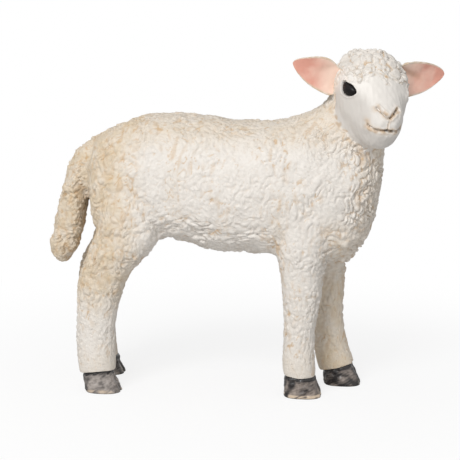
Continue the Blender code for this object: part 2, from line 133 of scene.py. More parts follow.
def ball(middle, radius, turns=24, rings=12):
    """A sphere on a grid of turn and height angles, with triangles: radius along each direction."""
    height, turn = np.meshgrid(np.linspace(0, math.pi, rings + 1),
                               full_turn(turns), indexing="ij")
    way = np.stack([np.sin(height) * np.cos(turn), np.sin(height) * np.sin(turn), np.cos(height)], 2)
    quads = np.roll(ring_quads(rings + 1, turns)[:, ::-1], 1, axis=1)
    triangles = np.concatenate([quads[:, (0, 1, 2)], quads[:, (0, 2, 3)]])
    return middle + radius * way.reshape(-1, 3), triangles


def from_head(along):
    """A place given forward, left and up of the middle of the head, as a place in the frame."""
    along = np.asarray(along, float)
    return head_middle + along[..., 0:1] * head_forward + along[..., 1:2] * head_left \
        + along[..., 2:3] * head_up


def to_head(points):
    """How far each place lies forward, left and up of the middle of the head."""
    away = points - head_middle
    return np.stack([away @ head_forward, away @ head_left, away @ head_up], axis=1)


def islands(count, pairs):
    """A label for each item, the same for all that the pairs join: the lowest label spreads."""
    label = np.arange(count)
    while True:
        before = label.copy()
        low = np.minimum(label[pairs[:, 0]], label[pairs[:, 1]])
        np.minimum.at(label, pairs[:, 0], low)
        np.minimum.at(label, pairs[:, 1], low)
        label = label[label]
        if (label == before).all():
            return label


def eased(points, edges, strength, rounds, give_back=0.0):
    """Each round moves every point by its strength to the mean of its neighbours, then back."""
    count = len(points)
    ends = np.concatenate([edges[:, 0], edges[:, 1]])
    others = np.concatenate([edges[:, 1], edges[:, 0]])
    share = 1 / np.maximum(np.bincount(ends, minlength=count), 1)
    for _ in range(rounds):
        for step in (strength, -give_back * strength):
            mean = np.stack([np.bincount(ends, points[others, axis], count) for axis in range(3)], 1)
            points = points + np.asarray(step).reshape(-1, 1) * (mean * share[:, None] - points)
    return points


def linked(name, data):
    """A new object with this data, put into the scene."""
    thing = bpy.data.objects.new(name, data)
    bpy.context.scene.collection.objects.link(thing)
    return thing


def modified(mesh, kind, **settings):
    """The mesh that a modifier with these settings makes from this one."""
    holder = linked("holder", mesh)
    modifier = holder.modifiers.new(kind, kind)
    for name, value in settings.items():
        setattr(modifier, name, value)
    bpy.context.view_layer.update()
    result = bpy.data.meshes.new_from_object(
        holder.evaluated_get(bpy.context.evaluated_depsgraph_get()))
    bpy.data.objects.remove(holder)
    bpy.data.meshes.remove(mesh)
    return result


def swollen_solids():
    """One mesh of all the body's solids, each grown outwards, with plugs in the eyes' and ears' seats."""
    parts = []
    for name in body_names + plug_names:
        points, triangles = corners_of(name)
        growth = 0.0 if name in plug_names else swelling
        parts.append((points + growth * outward(points, triangles), triangles))
    for side in (-1, 1):
        root = ear_root * (1, side, 1) - (0, side * ear_plug_depth, 0)
        parts.append(ball(from_head(root), ear_plug_radius))
    starts = np.cumsum([0] + [len(points) for points, _ in parts])
    mesh = bpy.data.meshes.new("solids")
    mesh.from_pydata(np.concatenate([points for points, _ in parts]).tolist(), [],
                     np.concatenate([triangles + start for (_, triangles), start
                                     in zip(parts, starts)]).tolist())
    return mesh


def outer_shell(mesh):
    """Deletes all but the largest connected surface, so the hollows round the pegs go."""
    label = islands(len(mesh.vertices), read_all(mesh.edges, "vertices", 2, int))
    outer = np.bincount(label).argmax()
    shell = bmesh.new()
    shell.from_mesh(mesh)
    shell.verts.ensure_lookup_table()
    bmesh.ops.delete(shell, geom=[shell.verts[i] for i in np.flatnonzero(label != outer)],
                     context="VERTS")
    shell.to_mesh(mesh)
    shell.free()
    return mesh


clay = outer_shell(modified(swollen_solids(), "REMESH", mode="VOXEL", voxel_size=skin_cell))
clay_edges = read_all(clay.edges, "vertices", 2, int)
clay_points = read_all(clay.vertices, "co", 3)
x, z = clay_points[:, 0], clay_points[:, 2]
melt = np.maximum(near((clay_points - neck_place) @ neck_normal, neck_melt) * (x > shoulder_start),
                  near(z - leg_seat - leg_melt_up, leg_melt) * (x > leg_melt_back))
melt = np.maximum(melt, near(x - tail_seat, tail_melt) * (z > tail_melt_low))
clay_points = eased(clay_points, clay_edges, half_way, lumps_rounds, give_back=no_shrinking)
clay_points = eased(clay_points, clay_edges, half_way * melt, melt_rounds)
put_points(clay, clay_points)
clay_points = clay_points - swelling * read_all(clay.vertex_normals, "vector", 3)
clay_points = eased(clay_points, clay_edges, half_way, clay_rounds, give_back=no_shrinking)
put_points(clay, clay_points)


# The joint lines. The figure is glued from its castings along flat seats: one through the neck,
# one at the tail's root, one across the top of each leg, and one down the middle of the torso.
# The clay form is scored along them, so that each casting later takes its own part of the skin.
seat_snap = 0.05
fine_cell_folds = 1
skin_rounds = 3
tail_seat_back = -15.0
tail_high = 23.5
leg_gap_front = 0.6
leg_gap_rear = 0.4
face_refined_forward = 1.0
face_refined_low = -10.0
face_refined_high = 2.2
face_refined_half = 6.0


def scored(shape, chosen, place, normal):
    """Cuts the chosen faces of a bmesh along a plane, keeping both sides."""
    faces = [shape.faces[i] for i in np.flatnonzero(chosen)]
    parts = set(faces)
    for face in faces:
        parts.update(face.edges)
        parts.update(face.verts)
    bmesh.ops.bisect_plane(shape, geom=list(parts), plane_co=Vector(place),
                           plane_no=Vector(normal), dist=seat_snap)


def middles(shape, mesh):
    """The middle of each face of a bmesh, which is first written to its mesh, as rows of three."""
    shape.to_mesh(mesh)
    shape.faces.ensure_lookup_table()
    return read_all(mesh.polygons, "center", 3)


def closeness(points, cloud, block=2000):
    """Distance from each point to the nearest point of a cloud, a block of points at a time."""
    found = []
    for start in range(0, len(points), block):
        apart = points[start:start + block, None] - cloud[None]
        found.append(np.sqrt((apart ** 2).sum(axis=2).min(axis=1)))
    return np.concatenate(found)


def casting_of(place):
    """Which of the castings each face belongs to, by the side of every seat that it lies on."""
    label = np.where(place[:, 1] > body_middle, 0, 1)
    beyond_neck = (place - neck_place) @ neck_normal > 0
    label[beyond_neck & (place[:, 0] > shoulder_start)] = 2
    behind = np.flatnonzero((place[:, 0] < tail_seat) & (place[:, 2] > leg_seat))
    tail_gap = closeness(place[behind], corners_of("tail")[0])
    body_gap = np.minimum(closeness(place[behind], corners_of("torso_left_half")[0]),
                          closeness(place[behind], corners_of("torso_right_half")[0]))
    label[behind[(tail_gap < body_gap) | (place[behind, 2] > tail_high)]] = 3
    low = place[:, 2] < leg_seat
    front = place[:, 0] > 0
    left = place[:, 1] > np.where(front, leg_gap_front, leg_gap_rear)
    for number, mine in enumerate((front & left, front & ~left, ~front & left, ~front & ~left), 4):
        label[low & mine] = number
    return label


shape = bmesh.new()
shape.from_mesh(clay)
scored(shape, middles(shape, clay)[:, 0] > shoulder_start, neck_place, neck_normal)
place = middles(shape, clay)
scored(shape, (place[:, 0] < tail_seat_back) & (place[:, 2] > tail_seat_low),
       (tail_seat, 0, 0), (1, 0, 0))
scored(shape, abs(middles(shape, clay)[:, 2] - leg_seat) < 1, (0, 0, leg_seat), (0, 0, 1))
scored(shape, casting_of(middles(shape, clay)) < 2, (0, body_middle, 0), (0, 1, 0))
label = casting_of(middles(shape, clay))
for face, number in zip(shape.faces, label.tolist()):
    face.material_index = number
shape.to_mesh(clay)
shape.free()
skin = modified(clay, "SUBSURF", levels=fine_cell_folds, render_levels=fine_cell_folds)


def refined_face(mesh):
    """Splits the faces of the muzzle, the eyes' surrounds and the chin once more, into quarters."""
    shape = bmesh.new()
    shape.from_mesh(mesh)
    forward, left, up = to_head(middles(shape, mesh)).T
    chosen = np.flatnonzero((forward > face_refined_forward) & (up > face_refined_low)
                            & (up < face_refined_high) & (abs(left) < face_refined_half))
    edges = {edge for i in chosen for edge in shape.faces[i].edges}
    bmesh.ops.subdivide_edges(shape, edges=list(edges), cuts=1, use_grid_fill=True)
    shape.to_mesh(mesh)
    shape.free()
    return mesh


skin = refined_face(skin)
skin_edges = read_all(skin.edges, "vertices", 2, int)
skin_points = eased(read_all(skin.vertices, "co", 3), skin_edges, half_way, skin_rounds,
                    give_back=no_shrinking)
put_points(skin, skin_points)


# The trims. The form is taken in or filled out where the outline of the real figure differs from
# the plain solids: behind the ears, at the buttock and the tail's root, along the belly and on the
# chest. The lower end of each leg follows the slanted top line of its hoof.

# A dab is a middle, its widths along the three axes, and how far it raises or sinks the skin.
body_dabs = (
    ((9.8, 0.4, 34.2), (1.9, 3.0, 1.9), -0.40),
    ((-20.3, 4.8, 18.8), (1.6, 2.4, 4.0), -0.65),
    ((-10.6, -3.5, 16.0), (1.5, 3.0, 2.4), 0.12),
    ((-6.2, -1.5, 17.9), (1.9, 4.0, 1.4), -0.22),
    ((-3.8, -1.5, 16.8), (2.0, 4.0, 1.6), 0.18),
    ((-8.4, -1.5, 17.2), (1.4, 4.0, 1.4), -0.22),
    ((1.6, -1.5, 15.8), (2.8, 4.0, 1.6), -0.26),
    ((12.8, -0.6, 16.2), (1.6, 3.0, 1.3), 0.16),
    ((15.6, -0.8, 19.8), (1.5, 3.0, 2.2), -0.26),
    ((17.4, 0.0, 24.8), (2.0, 4.0, 3.6), -0.16),
    ((-19.4, 0.3, 28.8), (1.3, 2.2, 1.5), -0.24),
    ((-14.0, 0.3, 31.2), (2.6, 3.0, 1.6), -0.28),
    ((-15.0, 0.3, 31.3), (1.3, 3.0, 1.2), -0.18),
    ((-17.3, 0.3, 30.2), (1.2, 3.0, 1.0), 0.14),
    ((0.0, 0.3, 31.2), (5.0, 4.0, 1.5), -0.10),
    ((8.0, 0.3, 32.0), (2.0, 3.0, 1.5), -0.10),
    ((12.6, 3.4, 13.0), (1.2, 2.0, 2.2), 0.14),
    ((-18.0, 1.2, 21.4), (0.9, 3.5, 2.2), -0.46),
    ((-19.4, 0.3, 21.2), (0.8, 2.0, 1.8), 0.10),
    ((14.6, -0.6, 17.2), (1.5, 3.0, 1.5), -0.36),
    ((-20.2, -3.7, 8.6), (1.2, 2.4, 4.0), -0.10),
    ((13.6, 3.4, 5.4), (1.2, 2.0, 2.4), -0.14),
    ((10.0, -2.6, 5.0), (0.9, 2.0, 2.2), -0.10),
    ((13.9, 3.4, 3.4), (1.0, 2.0, 1.8), -0.12),
    ((-22.2, 0.3, 21.9), (1.2, 2.5, 2.6), -0.12),
    ((-23.0, 0.3, 17.4), (1.2, 2.5, 1.6), 0.10),
    ((-21.0, 0.3, 26.8), (1.3, 2.2, 1.8), -0.12),
)
tail_edge_up = (22.8, 24.1, 26.5, 28.5, 30.0)
tail_edge_along = (-18.4, -18.3, -18.0, -17.2, -16.4)
tail_set_in = 0.46
tail_gap_top = (-18.3, 1.2, 21.6)
tail_gap_raised = 2.0
tail_gap_raised_widths = (0.7, 4.0, 1.6)
tail_gap_lift = 1.0
tail_gap_lift_widths = (0.6, 4.0, 1.6)
tail_edge_facing = (0.3, 0.8)
tail_set_up = (22.0, 23.0)
tail_set_start = (-0.25, 0.10)
tail_set_end = (1.8, 0.3)
hoof_places = {"front_left": (11.915, 3.384), "front_right": (7.684, -2.616),
               "rear_left": (-17.256, 4.484), "rear_right": (-16.052, -3.716)}
hoof_top_lines = {"front_left": (0.26, 0.00, -0.18), "front_right": (0.00, -0.15, 0.00),
                  "rear_left": (-0.34, 0.00, 0.00), "rear_right": (0.05, 0.22, -0.10)}
hoof_slant_end = 2.6
hoof_arch_half = 2.0
leg_end = 2.4
leg_bend_top = 6.0
leg_half_long = 4.6
leg_half_wide = 2.9
rim_top = 4.2
rim_fade = 0.9
rim_rounds = 12
rim_spur = (13.4, 2.93, 2.85)
rim_spur_widths = (0.45, 0.45, 0.45)
rim_spur_fade = (0.1, 0.6)
rim_spur_rounds = 80


def bell(points, middle, widths):
    """One at the middle, falling off along a bell of its own width on each axis."""
    return np.exp(-(((points - np.asarray(middle)) / np.asarray(widths)) ** 2).sum(axis=1))


def rise(value, low, high):
    """Nothing up to one bound, one from the other on, with an easy step between them. It also
    runs the other way, with the high bound first: three squares of the share less two cubes."""
    share = np.clip((value - low) / (high - low), 0, 1)
    return share * share * (3 - 2 * share)


def dabs_at(points, dabs):
    """The sum of the heights of all dabs at each point, each times the bell of its widths."""
    return sum(height * bell(points, middle, widths) for middle, widths, height in dabs)


def top_line(corner, forward):
    """How much higher than level a hoof's top line runs, forward of its middle: its lift, plus
    its slant times the distance, plus its arch times one less the square of the distance."""
    slant, arch, lift = hoof_top_lines[corner]
    forward = np.clip(forward, -hoof_slant_end, hoof_slant_end)
    middle = np.clip(forward, -hoof_arch_half, hoof_arch_half) / hoof_arch_half
    return lift + slant * forward + arch * (1 - middle ** 2)


def past_tail_edge(points):
    """How far behind the edge of the rump each point lies, where the tail's root is set in."""
    return np.interp(points[:, 2], tail_edge_up, tail_edge_along) - points[:, 0]


def eased_where(points, edges, share, rounds):
    """Moves each point that has a share by half its share to the mean of its neighbours, round
    after round, and leaves the rest where they are."""
    close = share[edges].max(axis=1) > 0
    used, ends = np.unique(edges[close], return_inverse=True)
    moved = points.copy()
    moved[used] = eased(points[used], ends.reshape(-1, 2), half_way * share[used], rounds)
    return moved


skin_way = read_all(skin.vertex_normals, "vector", 3)
trim = dabs_at(skin_points, body_dabs)
behind = past_tail_edge(skin_points)
trim -= tail_set_in * rise(abs(skin_way[:, 1]), *tail_edge_facing) \
    * rise(skin_points[:, 2], *tail_set_up) \
    * rise(behind, *tail_set_start) * rise(behind, *tail_set_end)
skin_points = skin_points + trim[:, None] * skin_way
skin_points[:, 2] += (tail_gap_raised * bell(skin_points, tail_gap_top, tail_gap_raised_widths)
                      * rise(-skin_way[:, 2], 0.2, 0.8))
skin_points[:, 2] += tail_gap_lift * bell(skin_points, tail_gap_top, tail_gap_lift_widths)
for corner, (middle_x, middle_y) in hoof_places.items():
    x, y, z = skin_points.T
    mine = ((abs(x - middle_x) < leg_half_long) & (abs(y - middle_y) < leg_half_wide)
            & (z < leg_bend_top))
    skin_points[mine, 2] += (top_line(corner, x[mine] - middle_x)
                             * (1 - rise(z[mine], leg_end, leg_bend_top)))
in_rim = rise(rim_top - skin_points[:, 2], 0.0, rim_fade)
skin_points = eased_where(skin_points, skin_edges, in_rim, rim_rounds)
in_spur = rise(bell(skin_points, rim_spur, rim_spur_widths), *rim_spur_fade)
skin_points = eased_where(skin_points, skin_edges, in_spur, rim_spur_rounds)
put_points(skin, skin_points)


# The face. Smooth short hair over the skull, with a socket and lids for each eye, a soft hollow
# beside the muzzle, comma-shaped nostrils, a parted upper lip and a closed mouth.
eye_middle = (2.75, 3.50, -0.30)
eye_out = np.array((0.40, 0.89, 0.15))
eye_corners = np.array(((-1.08, 0.32), (-0.62, 0.56), (0.36, 0.45), (1.00, 0.06), (0.92, -0.33),
                        (0.26, -0.74), (-0.57, -0.70), (-0.97, -0.28)))
socket_depth = 0.34
dab_table = (
    ((2.30, 3.60, 0.85), (1.50, 1.20, 0.55), 0.20),
    ((3.90, 3.00, -0.40), (0.80, 0.70, 0.90), 0.10),
    ((4.70, 2.40, -1.80), (1.20, 1.20, 0.90), -0.20),
    ((2.40, 3.70, -2.60), (1.70, 1.50, 1.60), 0.20),
    ((6.90, 0.75, -2.75), (0.80, 0.60, 0.50), 0.14),
    ((6.20, 1.60, -1.85), (0.90, 0.60, 0.55), 0.12),
    ((5.60, 2.50, -3.10), (0.80, 0.80, 0.70), -0.12),
    ((6.90, 0.60, -4.00), (1.00, 0.90, 0.40), 0.10),
    ((6.40, 2.00, -4.50), (1.10, 0.80, 1.00), -0.26),
)
middle_dabs = (
    ((6.90, 0.00, -1.65), (0.90, 0.60, 0.50), 0.14),
    ((7.10, 0.00, -4.50), (1.00, 1.20, 0.60), 0.04),
    ((-0.90, -3.00, 2.30), (1.50, 1.50, 1.20), -0.50),
    ((-0.60, -3.40, 2.80), (1.20, 1.00, 1.00), -0.24),
    ((-1.00, -1.30, 3.50), (1.80, 1.80, 1.20), -0.10),
    ((-1.00, 2.20, 2.70), (1.80, 1.50, 1.20), -0.26),
    ((5.00, 3.00, -3.00), (1.00, 0.80, 1.40), 0.10),
    ((6.70, 1.75, -3.10), (0.80, 0.60, 0.80), -0.30),
    ((3.80, 3.20, -0.30), (0.90, 0.80, 1.10), 0.26),
    ((6.60, 1.30, -5.20), (0.90, 0.80, 0.90), -0.26),
)
# A trench is a path along its middle, its width and its depth.
trenches = {
    "nostril": (((6.10, 1.20, -1.62), (6.00, 1.26, -1.42), (6.12, 1.20, -1.24),
                 (6.35, 1.00, -1.36), (6.60, 0.72, -1.62), (6.98, 0.16, -2.02)), 0.16, 0.34),
    "mouth": (((6.36, 2.12, -3.18), (6.50, 2.00, -3.26), (6.80, 1.70, -3.38),
               (7.08, 1.15, -3.50), (7.20, 0.00, -3.42)), 0.13, 0.28),
    "corner": (((6.26, 2.20, -3.06), (6.40, 2.06, -3.22)), 0.24, 0.12),
    "lip": (((7.00, 0.00, -2.05), (7.15, 0.00, -2.70), (7.20, 0.00, -3.35)), 0.08, 0.13),
}
trench_bank = 0.25
face_start = 0.5
upper_lid = 0.15
lower_lid = 0.09
lid_share = 1.28
lid_fade = 0.16
socket_share = 0.98
socket_reach = 1.3
far_off = 9.0


def path_gap(points, path):
    """Distance from each point to a path of straight stretches."""
    path = np.asarray(path, float)
    gap = np.full(len(points), np.inf)
    for start, end in zip(path[:-1], path[1:]):
        stretch = end - start
        share = np.clip((points - start) @ stretch / (stretch @ stretch), 0, 1)
        gap = np.minimum(gap, np.linalg.norm(points - start - share[:, None] * stretch, axis=1))
    return gap


def mirrored(path, side):
    """A place or path of the left half of the face, on the left for 1 and on the right for -1."""
    return np.asarray(path, float) * (1, side, 1)


def eye_axes(side):
    """Unit directions out of an eye, along it towards the nose, and up across it."""
    out_way = mirrored(eye_out, side) / np.linalg.norm(eye_out)
    long_way = np.array((0.89, -0.40 * side, 0.0))
    long_way = long_way - out_way * (long_way @ out_way)
    long_way = long_way / np.linalg.norm(long_way)
    return out_way, long_way, np.cross(out_way, long_way) * -side


def easy_curve(share, start, end, start_slope, end_slope):
    """The cubic of a share that runs between two values and leaves each with its own slope."""
    return (start * (1 + 2 * share) * (1 - share) ** 2 + start_slope * share * (1 - share) ** 2
            + end * share ** 2 * (3 - 2 * share) - end_slope * share ** 2 * (1 - share))


def eye_curve():
    """Points all round the eye: an easy curve through its corners."""
    share = np.linspace(0, 1, 16, endpoint=False)[None, :, None]
    before, start, end, after = (np.roll(eye_corners, step, axis=0)[:, None]
                                 for step in (1, 0, -1, -2))
    return easy_curve(share, start, end, (end - before) / 2, (after - start) / 2).reshape(-1, 2)


eye_centre = eye_corners.mean(axis=0)
eye_spokes = eye_curve() - eye_centre


def eye_reach(angle):
    """How far the eye's outline lies from its centre at an angle."""
    return np.interp(angle, np.arctan2(eye_spokes[:, 1], eye_spokes[:, 0]),
                     np.linalg.norm(eye_spokes, axis=1), period=2 * math.pi)


in_head = (skin_points - neck_place) @ neck_normal > face_start
head_points = to_head(skin_points)
face_dabs = [(mirrored(middle, side), widths, height) for side in (-1, 1)
             for middle, widths, height in dab_table]
carving = dabs_at(head_points, face_dabs + list(middle_dabs))
trench_gap = {name: np.minimum(*(path_gap(head_points, mirrored(path, side)) for side in (-1, 1)))
              for name, (path, width, depth) in trenches.items()}
for name, (path, width, depth) in trenches.items():
    carving -= depth * near(trench_gap[name], width)
    carving += trench_bank * depth * near(trench_gap[name] - 2.0 * width, width)
skin_points = skin_points + (carving * in_head)[:, None] * read_all(skin.vertex_normals, "vector", 3)
head_points = to_head(skin_points)
for side in (-1, 1):
    out_way, long_way, up_way = eye_axes(side)
    away = head_points - mirrored(eye_middle, side)
    beside = np.stack([away @ long_way, away @ up_way], 1) - eye_centre
    out = away @ out_way
    spoke = eye_reach(np.arctan2(beside[:, 1], beside[:, 0]))
    share = np.where(abs(out) < socket_reach, np.linalg.norm(beside, axis=1) / spoke, far_off)
    lid = np.where(beside[:, 1] > 0, upper_lid, lower_lid) * near(share - lid_share, lid_fade)
    sink = -np.maximum(out + socket_depth, 0) * (1 - np.clip((share - socket_share) / lid_fade, 0, 1))
    skin_points = skin_points + ((lid + sink)[:, None] * out_way) @ np.stack(
        [head_forward, head_left, head_up])
put_points(skin, skin_points)


# The fleece. Soft worm-like curls pressed into the clay all over the body: long low ones on the
# flanks, upright knobbly ones down the neck and chest, round knobs on the crown and the tail, and
# fine strokes on the lower legs. The face is left smooth.
grain_cells = 32
crease_width = 0.26
grain_scatter = np.random.default_rng(7).uniform(0.05, 0.95, (grain_cells,) * 3 + (3,))
face_fade = (-0.45, 0.40)
neck_seat_fade = (0.4, 1.4)
crown_past_neck = (2.0, 4.5)
crown_up = (-1.5, 0.5)
neck_forward = (9.0, 14.0)
neck_up = (18.0, 21.5)
tail_root_up = (22.6, 23.4)
leg_down = (15.5, 11.5)
hoof_rim_up = (2.8, 4.2)
rump_back = (-8.5, -13.5)
belly_down = (23.0, 19.5)
elbow_forward = (1.5, 4.5)
brisket_forward = (8.5, 11.0)
chest_forward = (8.0, 12.0)
jaw_down = (-0.5, -2.0)
cap_edge_left = (-4.2, -3.7, -3.0, -2.2, -1.0, 0.6, 2.0, 3.0, 4.0)
cap_edge_up = (0.6, 0.95, 1.3, 1.6, 1.6, 1.4, 1.2, 0.95, 0.7)
face_edge_up = (-6.4, -5.7, -5.0, -3.65, -1.84, -0.6, 0.44, 1.0, 1.6)
face_edge_forward = (4.4, 3.6, 2.9, 1.5, 0.4, 0.5, 0.9, 1.1, 1.2)
fleece_calms = ((0.7, (13.6, 2.2, 15.8), (2.8, 3.8, 2.4)), (0.5, (14.2, 3.6, 14.0), (2.0, 2.6, 4.0)))


def waves(points, spacing, seed, stretch=(1.0, 1.0, 1.0), count=48):
    """Plane waves of one spacing in seeded directions, added up and scaled to unit spread.
    A stretch lengthens the pattern along an axis."""
    dice = np.random.default_rng(seed)
    way = dice.normal(size=(3, count))
    way = way / np.linalg.norm(way, axis=0) / np.array(stretch)[:, None]
    start = dice.uniform(0, 2 * math.pi, count)
    phase = (points @ way * (2 * math.pi / spacing) + start).astype(np.float32)
    return np.cos(phase).sum(axis=1).astype(float) / math.sqrt(count / 2)


def stirred(points, spacing, amount, seed):
    """Points pushed about by three slow waves, so that straight rows turn into curls."""
    return points + amount * np.stack([waves(points, spacing, seed + axis) for axis in range(3)], 1)


def grains(points, spacing, seed, stretch=(1.0, 1.0, 1.0)):
    """How far each point lies from the middle of its grain of wool, and how much farther off the
    next grain's middle is, which is nothing along the crease between the two. Both in spacings.
    One middle is scattered in each cell of a grid, which a stretch lengthens along an axis."""
    place = (points / (spacing * np.array(stretch))).astype(np.float32)
    cell = np.floor(place).astype(int)
    nearest = np.full(len(points), 9.0)
    second = nearest
    for step in np.ndindex(3, 3, 3):
        beside = cell + np.array(step) - 1
        pick = (beside + seed) % grain_cells
        middle = beside + grain_scatter[pick[:, 0], pick[:, 1], pick[:, 2]]
        square = ((place - middle) ** 2).sum(axis=1)
        second = np.minimum(second, np.maximum(nearest, square))
        nearest = np.minimum(nearest, square)
    return np.sqrt(nearest), np.sqrt(second) - np.sqrt(nearest)


def grain_height(gap, seam):
    """The height of a grain: a low dome with a narrow crease all round it, evened to no mean."""
    return 0.50 * rise(seam, 0.0, crease_width) + 0.70 * (0.50 - gap) - 0.27


def strands(points, spacing, seed, stretch=(1.0, 1.0, 1.0)):
    """The height of wandering strands, which is the size of a wave evened to no mean, and how
    deep each point lies in the narrow valleys between them, where the wave changes sign."""
    wave = waves(points, spacing, seed, stretch)
    return np.minimum(abs(wave), 1.3) - 0.75, near(wave, 0.17)


label_of_face = read_all(skin.polygons, "material_index", kind=int)
loop_starts = read_all(skin.polygons, "loop_start", kind=int)
loop_counts = read_all(skin.polygons, "loop_total", kind=int)
loop_points = read_all(skin.loops, "vertex_index", kind=int)
along_head = to_head(skin_points)
past_neck = (skin_points - neck_place) @ neck_normal
x, y, z = skin_points.T
forward, left, up = along_head.T

ragged = 0.30 * waves(skin_points, 1.7, 11) + 0.22 * waves(skin_points, 0.8, 12)
ragged *= 1 - 0.6 * rise(up, *jaw_down)
below_cap = np.interp(left, cap_edge_left, cap_edge_up) - up
before_neck = forward - np.interp(up, face_edge_up, face_edge_forward)
bare_face = rise(np.minimum(below_cap, before_neck) + ragged, *face_fade) \
    * rise(past_neck, *neck_seat_fade)
in_crown = rise(past_neck, *crown_past_neck) * rise(up, *crown_up) * (1 - bare_face)
in_neck = rise(x, *neck_forward) * rise(z, *neck_up) * (1 - bare_face) * (1 - in_crown)
in_tail = np.zeros(len(skin_points))
in_tail[loop_points[np.repeat(label_of_face == 3, loop_counts)]] = 1
in_tail = np.maximum(in_tail * rise(tail_seat + 0.3 - x, 0.0, 0.6),
                     rise(past_tail_edge(skin_points), -0.15, 0.25) * rise(z, *tail_root_up)
                     * rise(x, -15.5, -16.3))
in_leg = rise(z, *leg_down) * (1 - in_tail)
in_rump = rise(x, *rump_back) * (1 - in_leg) * (1 - in_tail)
in_belly = rise(z, *belly_down) * (1 - in_neck) * (1 - in_rump) * (1 - in_leg) * (1 - in_tail) \
    * (1 - rise(x, *elbow_forward) + rise(x, *brisket_forward))
in_flank = np.clip(1 - bare_face - in_crown - in_neck - in_tail - in_leg - in_rump - in_belly, 0, 1)
in_far_leg = in_leg * (y > body_middle)
above_hoof = rise(z, *hoof_rim_up)

curled = stirred(skin_points, 2.2, 0.12, 21)
folded = stirred(skin_points, 2.4, 0.24, 25)
strength = np.clip(0.90 + 0.40 * waves(skin_points, 4.0, 41), 0.25, 1.6)
strength *= 1 - 0.5 * in_leg * (2 - rise(z, 3.5, 7.0) - above_hoof)
for loss, middle, widths in fleece_calms:
    strength *= 1 - loss * bell(skin_points, middle, widths)
strength *= 1 - 0.45 * near(y - 0.8, 1.6) * rise(x, 9.0, 13.0) * (1 - in_crown)
in_chest = in_belly * rise(x, *chest_forward)
in_belly = in_belly - in_chest
in_nape = bell(skin_points, (10.2, -2.0, 32.0), (2.2, 4.0, 2.4)) * in_flank
in_flank = in_flank - in_nape
combed = np.stack([folded @ (0.80, 0, -0.60), folded[:, 1], folded @ (0.60, 0, 0.80)], 1)
stronger = 1 + 0.22 * rise(x, 5.0, 9.0) + 0.5 * rise(z, 28.0, 31.0) * (1 - in_crown)
crown_strength = 0.65 + 0.35 * np.maximum(rise(up, 2.0, 3.4), rise(left, 0.8, 2.4))
# A row for each region: its share, the pattern it is laid in, the size, stretch and height of its
# grains, the spacing and height of its strands, and how much of the wash its creases take.
wool_table = (
    (in_flank, folded, 0.62, (1.0, 1.0, 1.9), 0.07, 0.90, 0.078, 0.1),
    (in_rump, folded, 0.62, (1.0, 1.0, 1.7), 0.12, 0.90, 0.145, 0.3),
    (in_belly, folded, 0.70, (2.5, 1.4, 0.9), 0.14, 0.90, 0.190, 0.5),
    (in_neck, folded, 0.62, (0.9, 0.9, 1.9), 0.17, 0.90, 0.145, 0.6),
    (in_chest, folded, 0.80, (2.2, 2.2, 0.9), 0.20, 1.10, 0.230, 0.5),
    (in_nape, combed, 0.70, (0.8, 0.8, 2.6), 0.10, 0.80, 0.150, 0.3),
    (in_crown, curled, 0.95, (1.0, 1.0, 1.0), 0.33 * crown_strength, 0.95, 0.000, 0.9),
    (in_tail, curled, 0.66, (1.1, 1.1, 0.8), 0.16, 0.90, 0.085, 0.6),
    (in_leg, curled, 0.56, (1.0, 1.0, 1.8), 0.05 + 0.07 * rise(z, 4.0, 11.0), 0.80, 0.070, 0.1),
)
relief, line, shade = np.zeros((3, len(skin_points)))
for number, (share, laid, grain, stretch, height, strand, lift, crease) in enumerate(wool_table):
    mine = np.flatnonzero(share > 0.01)
    part = share[mine]
    gap, seam = grains(laid[mine], grain, number, stretch)
    ridge, valley = strands(laid[mine], strand, 43 + number, stretch)
    relief[mine] += (share * height)[mine] * grain_height(gap, seam) + part * lift * ridge
    edge = crease * rise(seam, 0.13, 0.03)
    line[mine] += part * np.maximum(edge, valley if lift else 0)
    shade[mine] += part * rise(seam, 0.24, 0.0)
wool = 1 - bare_face
plain = np.clip(in_flank + in_rump + in_leg + in_nape, 0, 1)
jaw_edge = 4 * bare_face * wool * rise(up, *jaw_down)
fine = waves(curled, 0.50, 32)
folds = waves(folded, 2.4, 37, (1.3, 1.0, 1.0))
relief = relief * strength * stronger - 0.02 * wool \
    + 0.016 * fine * wool * (1 - in_leg * (1 - above_hoof))
relief += folds * (0.05 * in_neck + 0.08 * in_belly + 0.10 * in_chest
                   + 0.04 * in_flank + 0.04 * in_rump)
relief += 0.05 * in_crown * rise(wool, 0.3, 1.0) - 0.05 * in_leg - 0.10 * jaw_edge
relief += bare_face * 0.012 * waves(skin_points, 0.50, 38, (1.0, 1.0, 3.0))
skin_points = skin_points + relief[:, None] * read_all(skin.vertex_normals, "vector", 3)
put_points(skin, skin_points)

patches = rise(waves(skin_points, 5.0, 51) + 0.7 * waves(skin_points, 2.2, 52), -0.3, 1.2)
strokes = rise(waves(curled, 1.3, 53, (0.7, 0.7, 2.6)), 0.4, 1.5)
broken = rise(waves(curled, 0.9, 54), -0.2, 0.8)
tan_bands = np.clip(bell(skin_points, (-7.0, -4.0, 25.2), (0.9, 4.0, 3.4))
                    + bell(skin_points, (4.9, -4.0, 19.5), (0.9, 4.0, 4.0)), 0, 1)
# A cream tint on the back, rump, tail, front of the neck, chest, lower legs and tan bands. On the far
# legs it is also painted shade, for the shade of the near legs and body.
warm_tint_and_shade = 0.55 * rise(z, 28.0, 31.5) + 1.1 * rise(x, -9.5, -15.5) * rise(z, 8.0, 15.0)
warm_tint_and_shade = np.clip(warm_tint_and_shade + 0.40 * in_tail + 0.35 * in_neck * rise(x, 12.0, 16.0)
                    + 0.65 * in_far_leg * rise(x, 0.0, 2.0)
                    + 0.06 * in_leg + 0.20 * in_leg * rise(z, 7.0, 3.0)
                    + 0.35 * in_far_leg * rise(x, 0.0, -2.0) + 0.25 * tan_bands
                    + 0.40 * in_chest, 0, 1) * wool * (1 - 0.9 * in_crown)
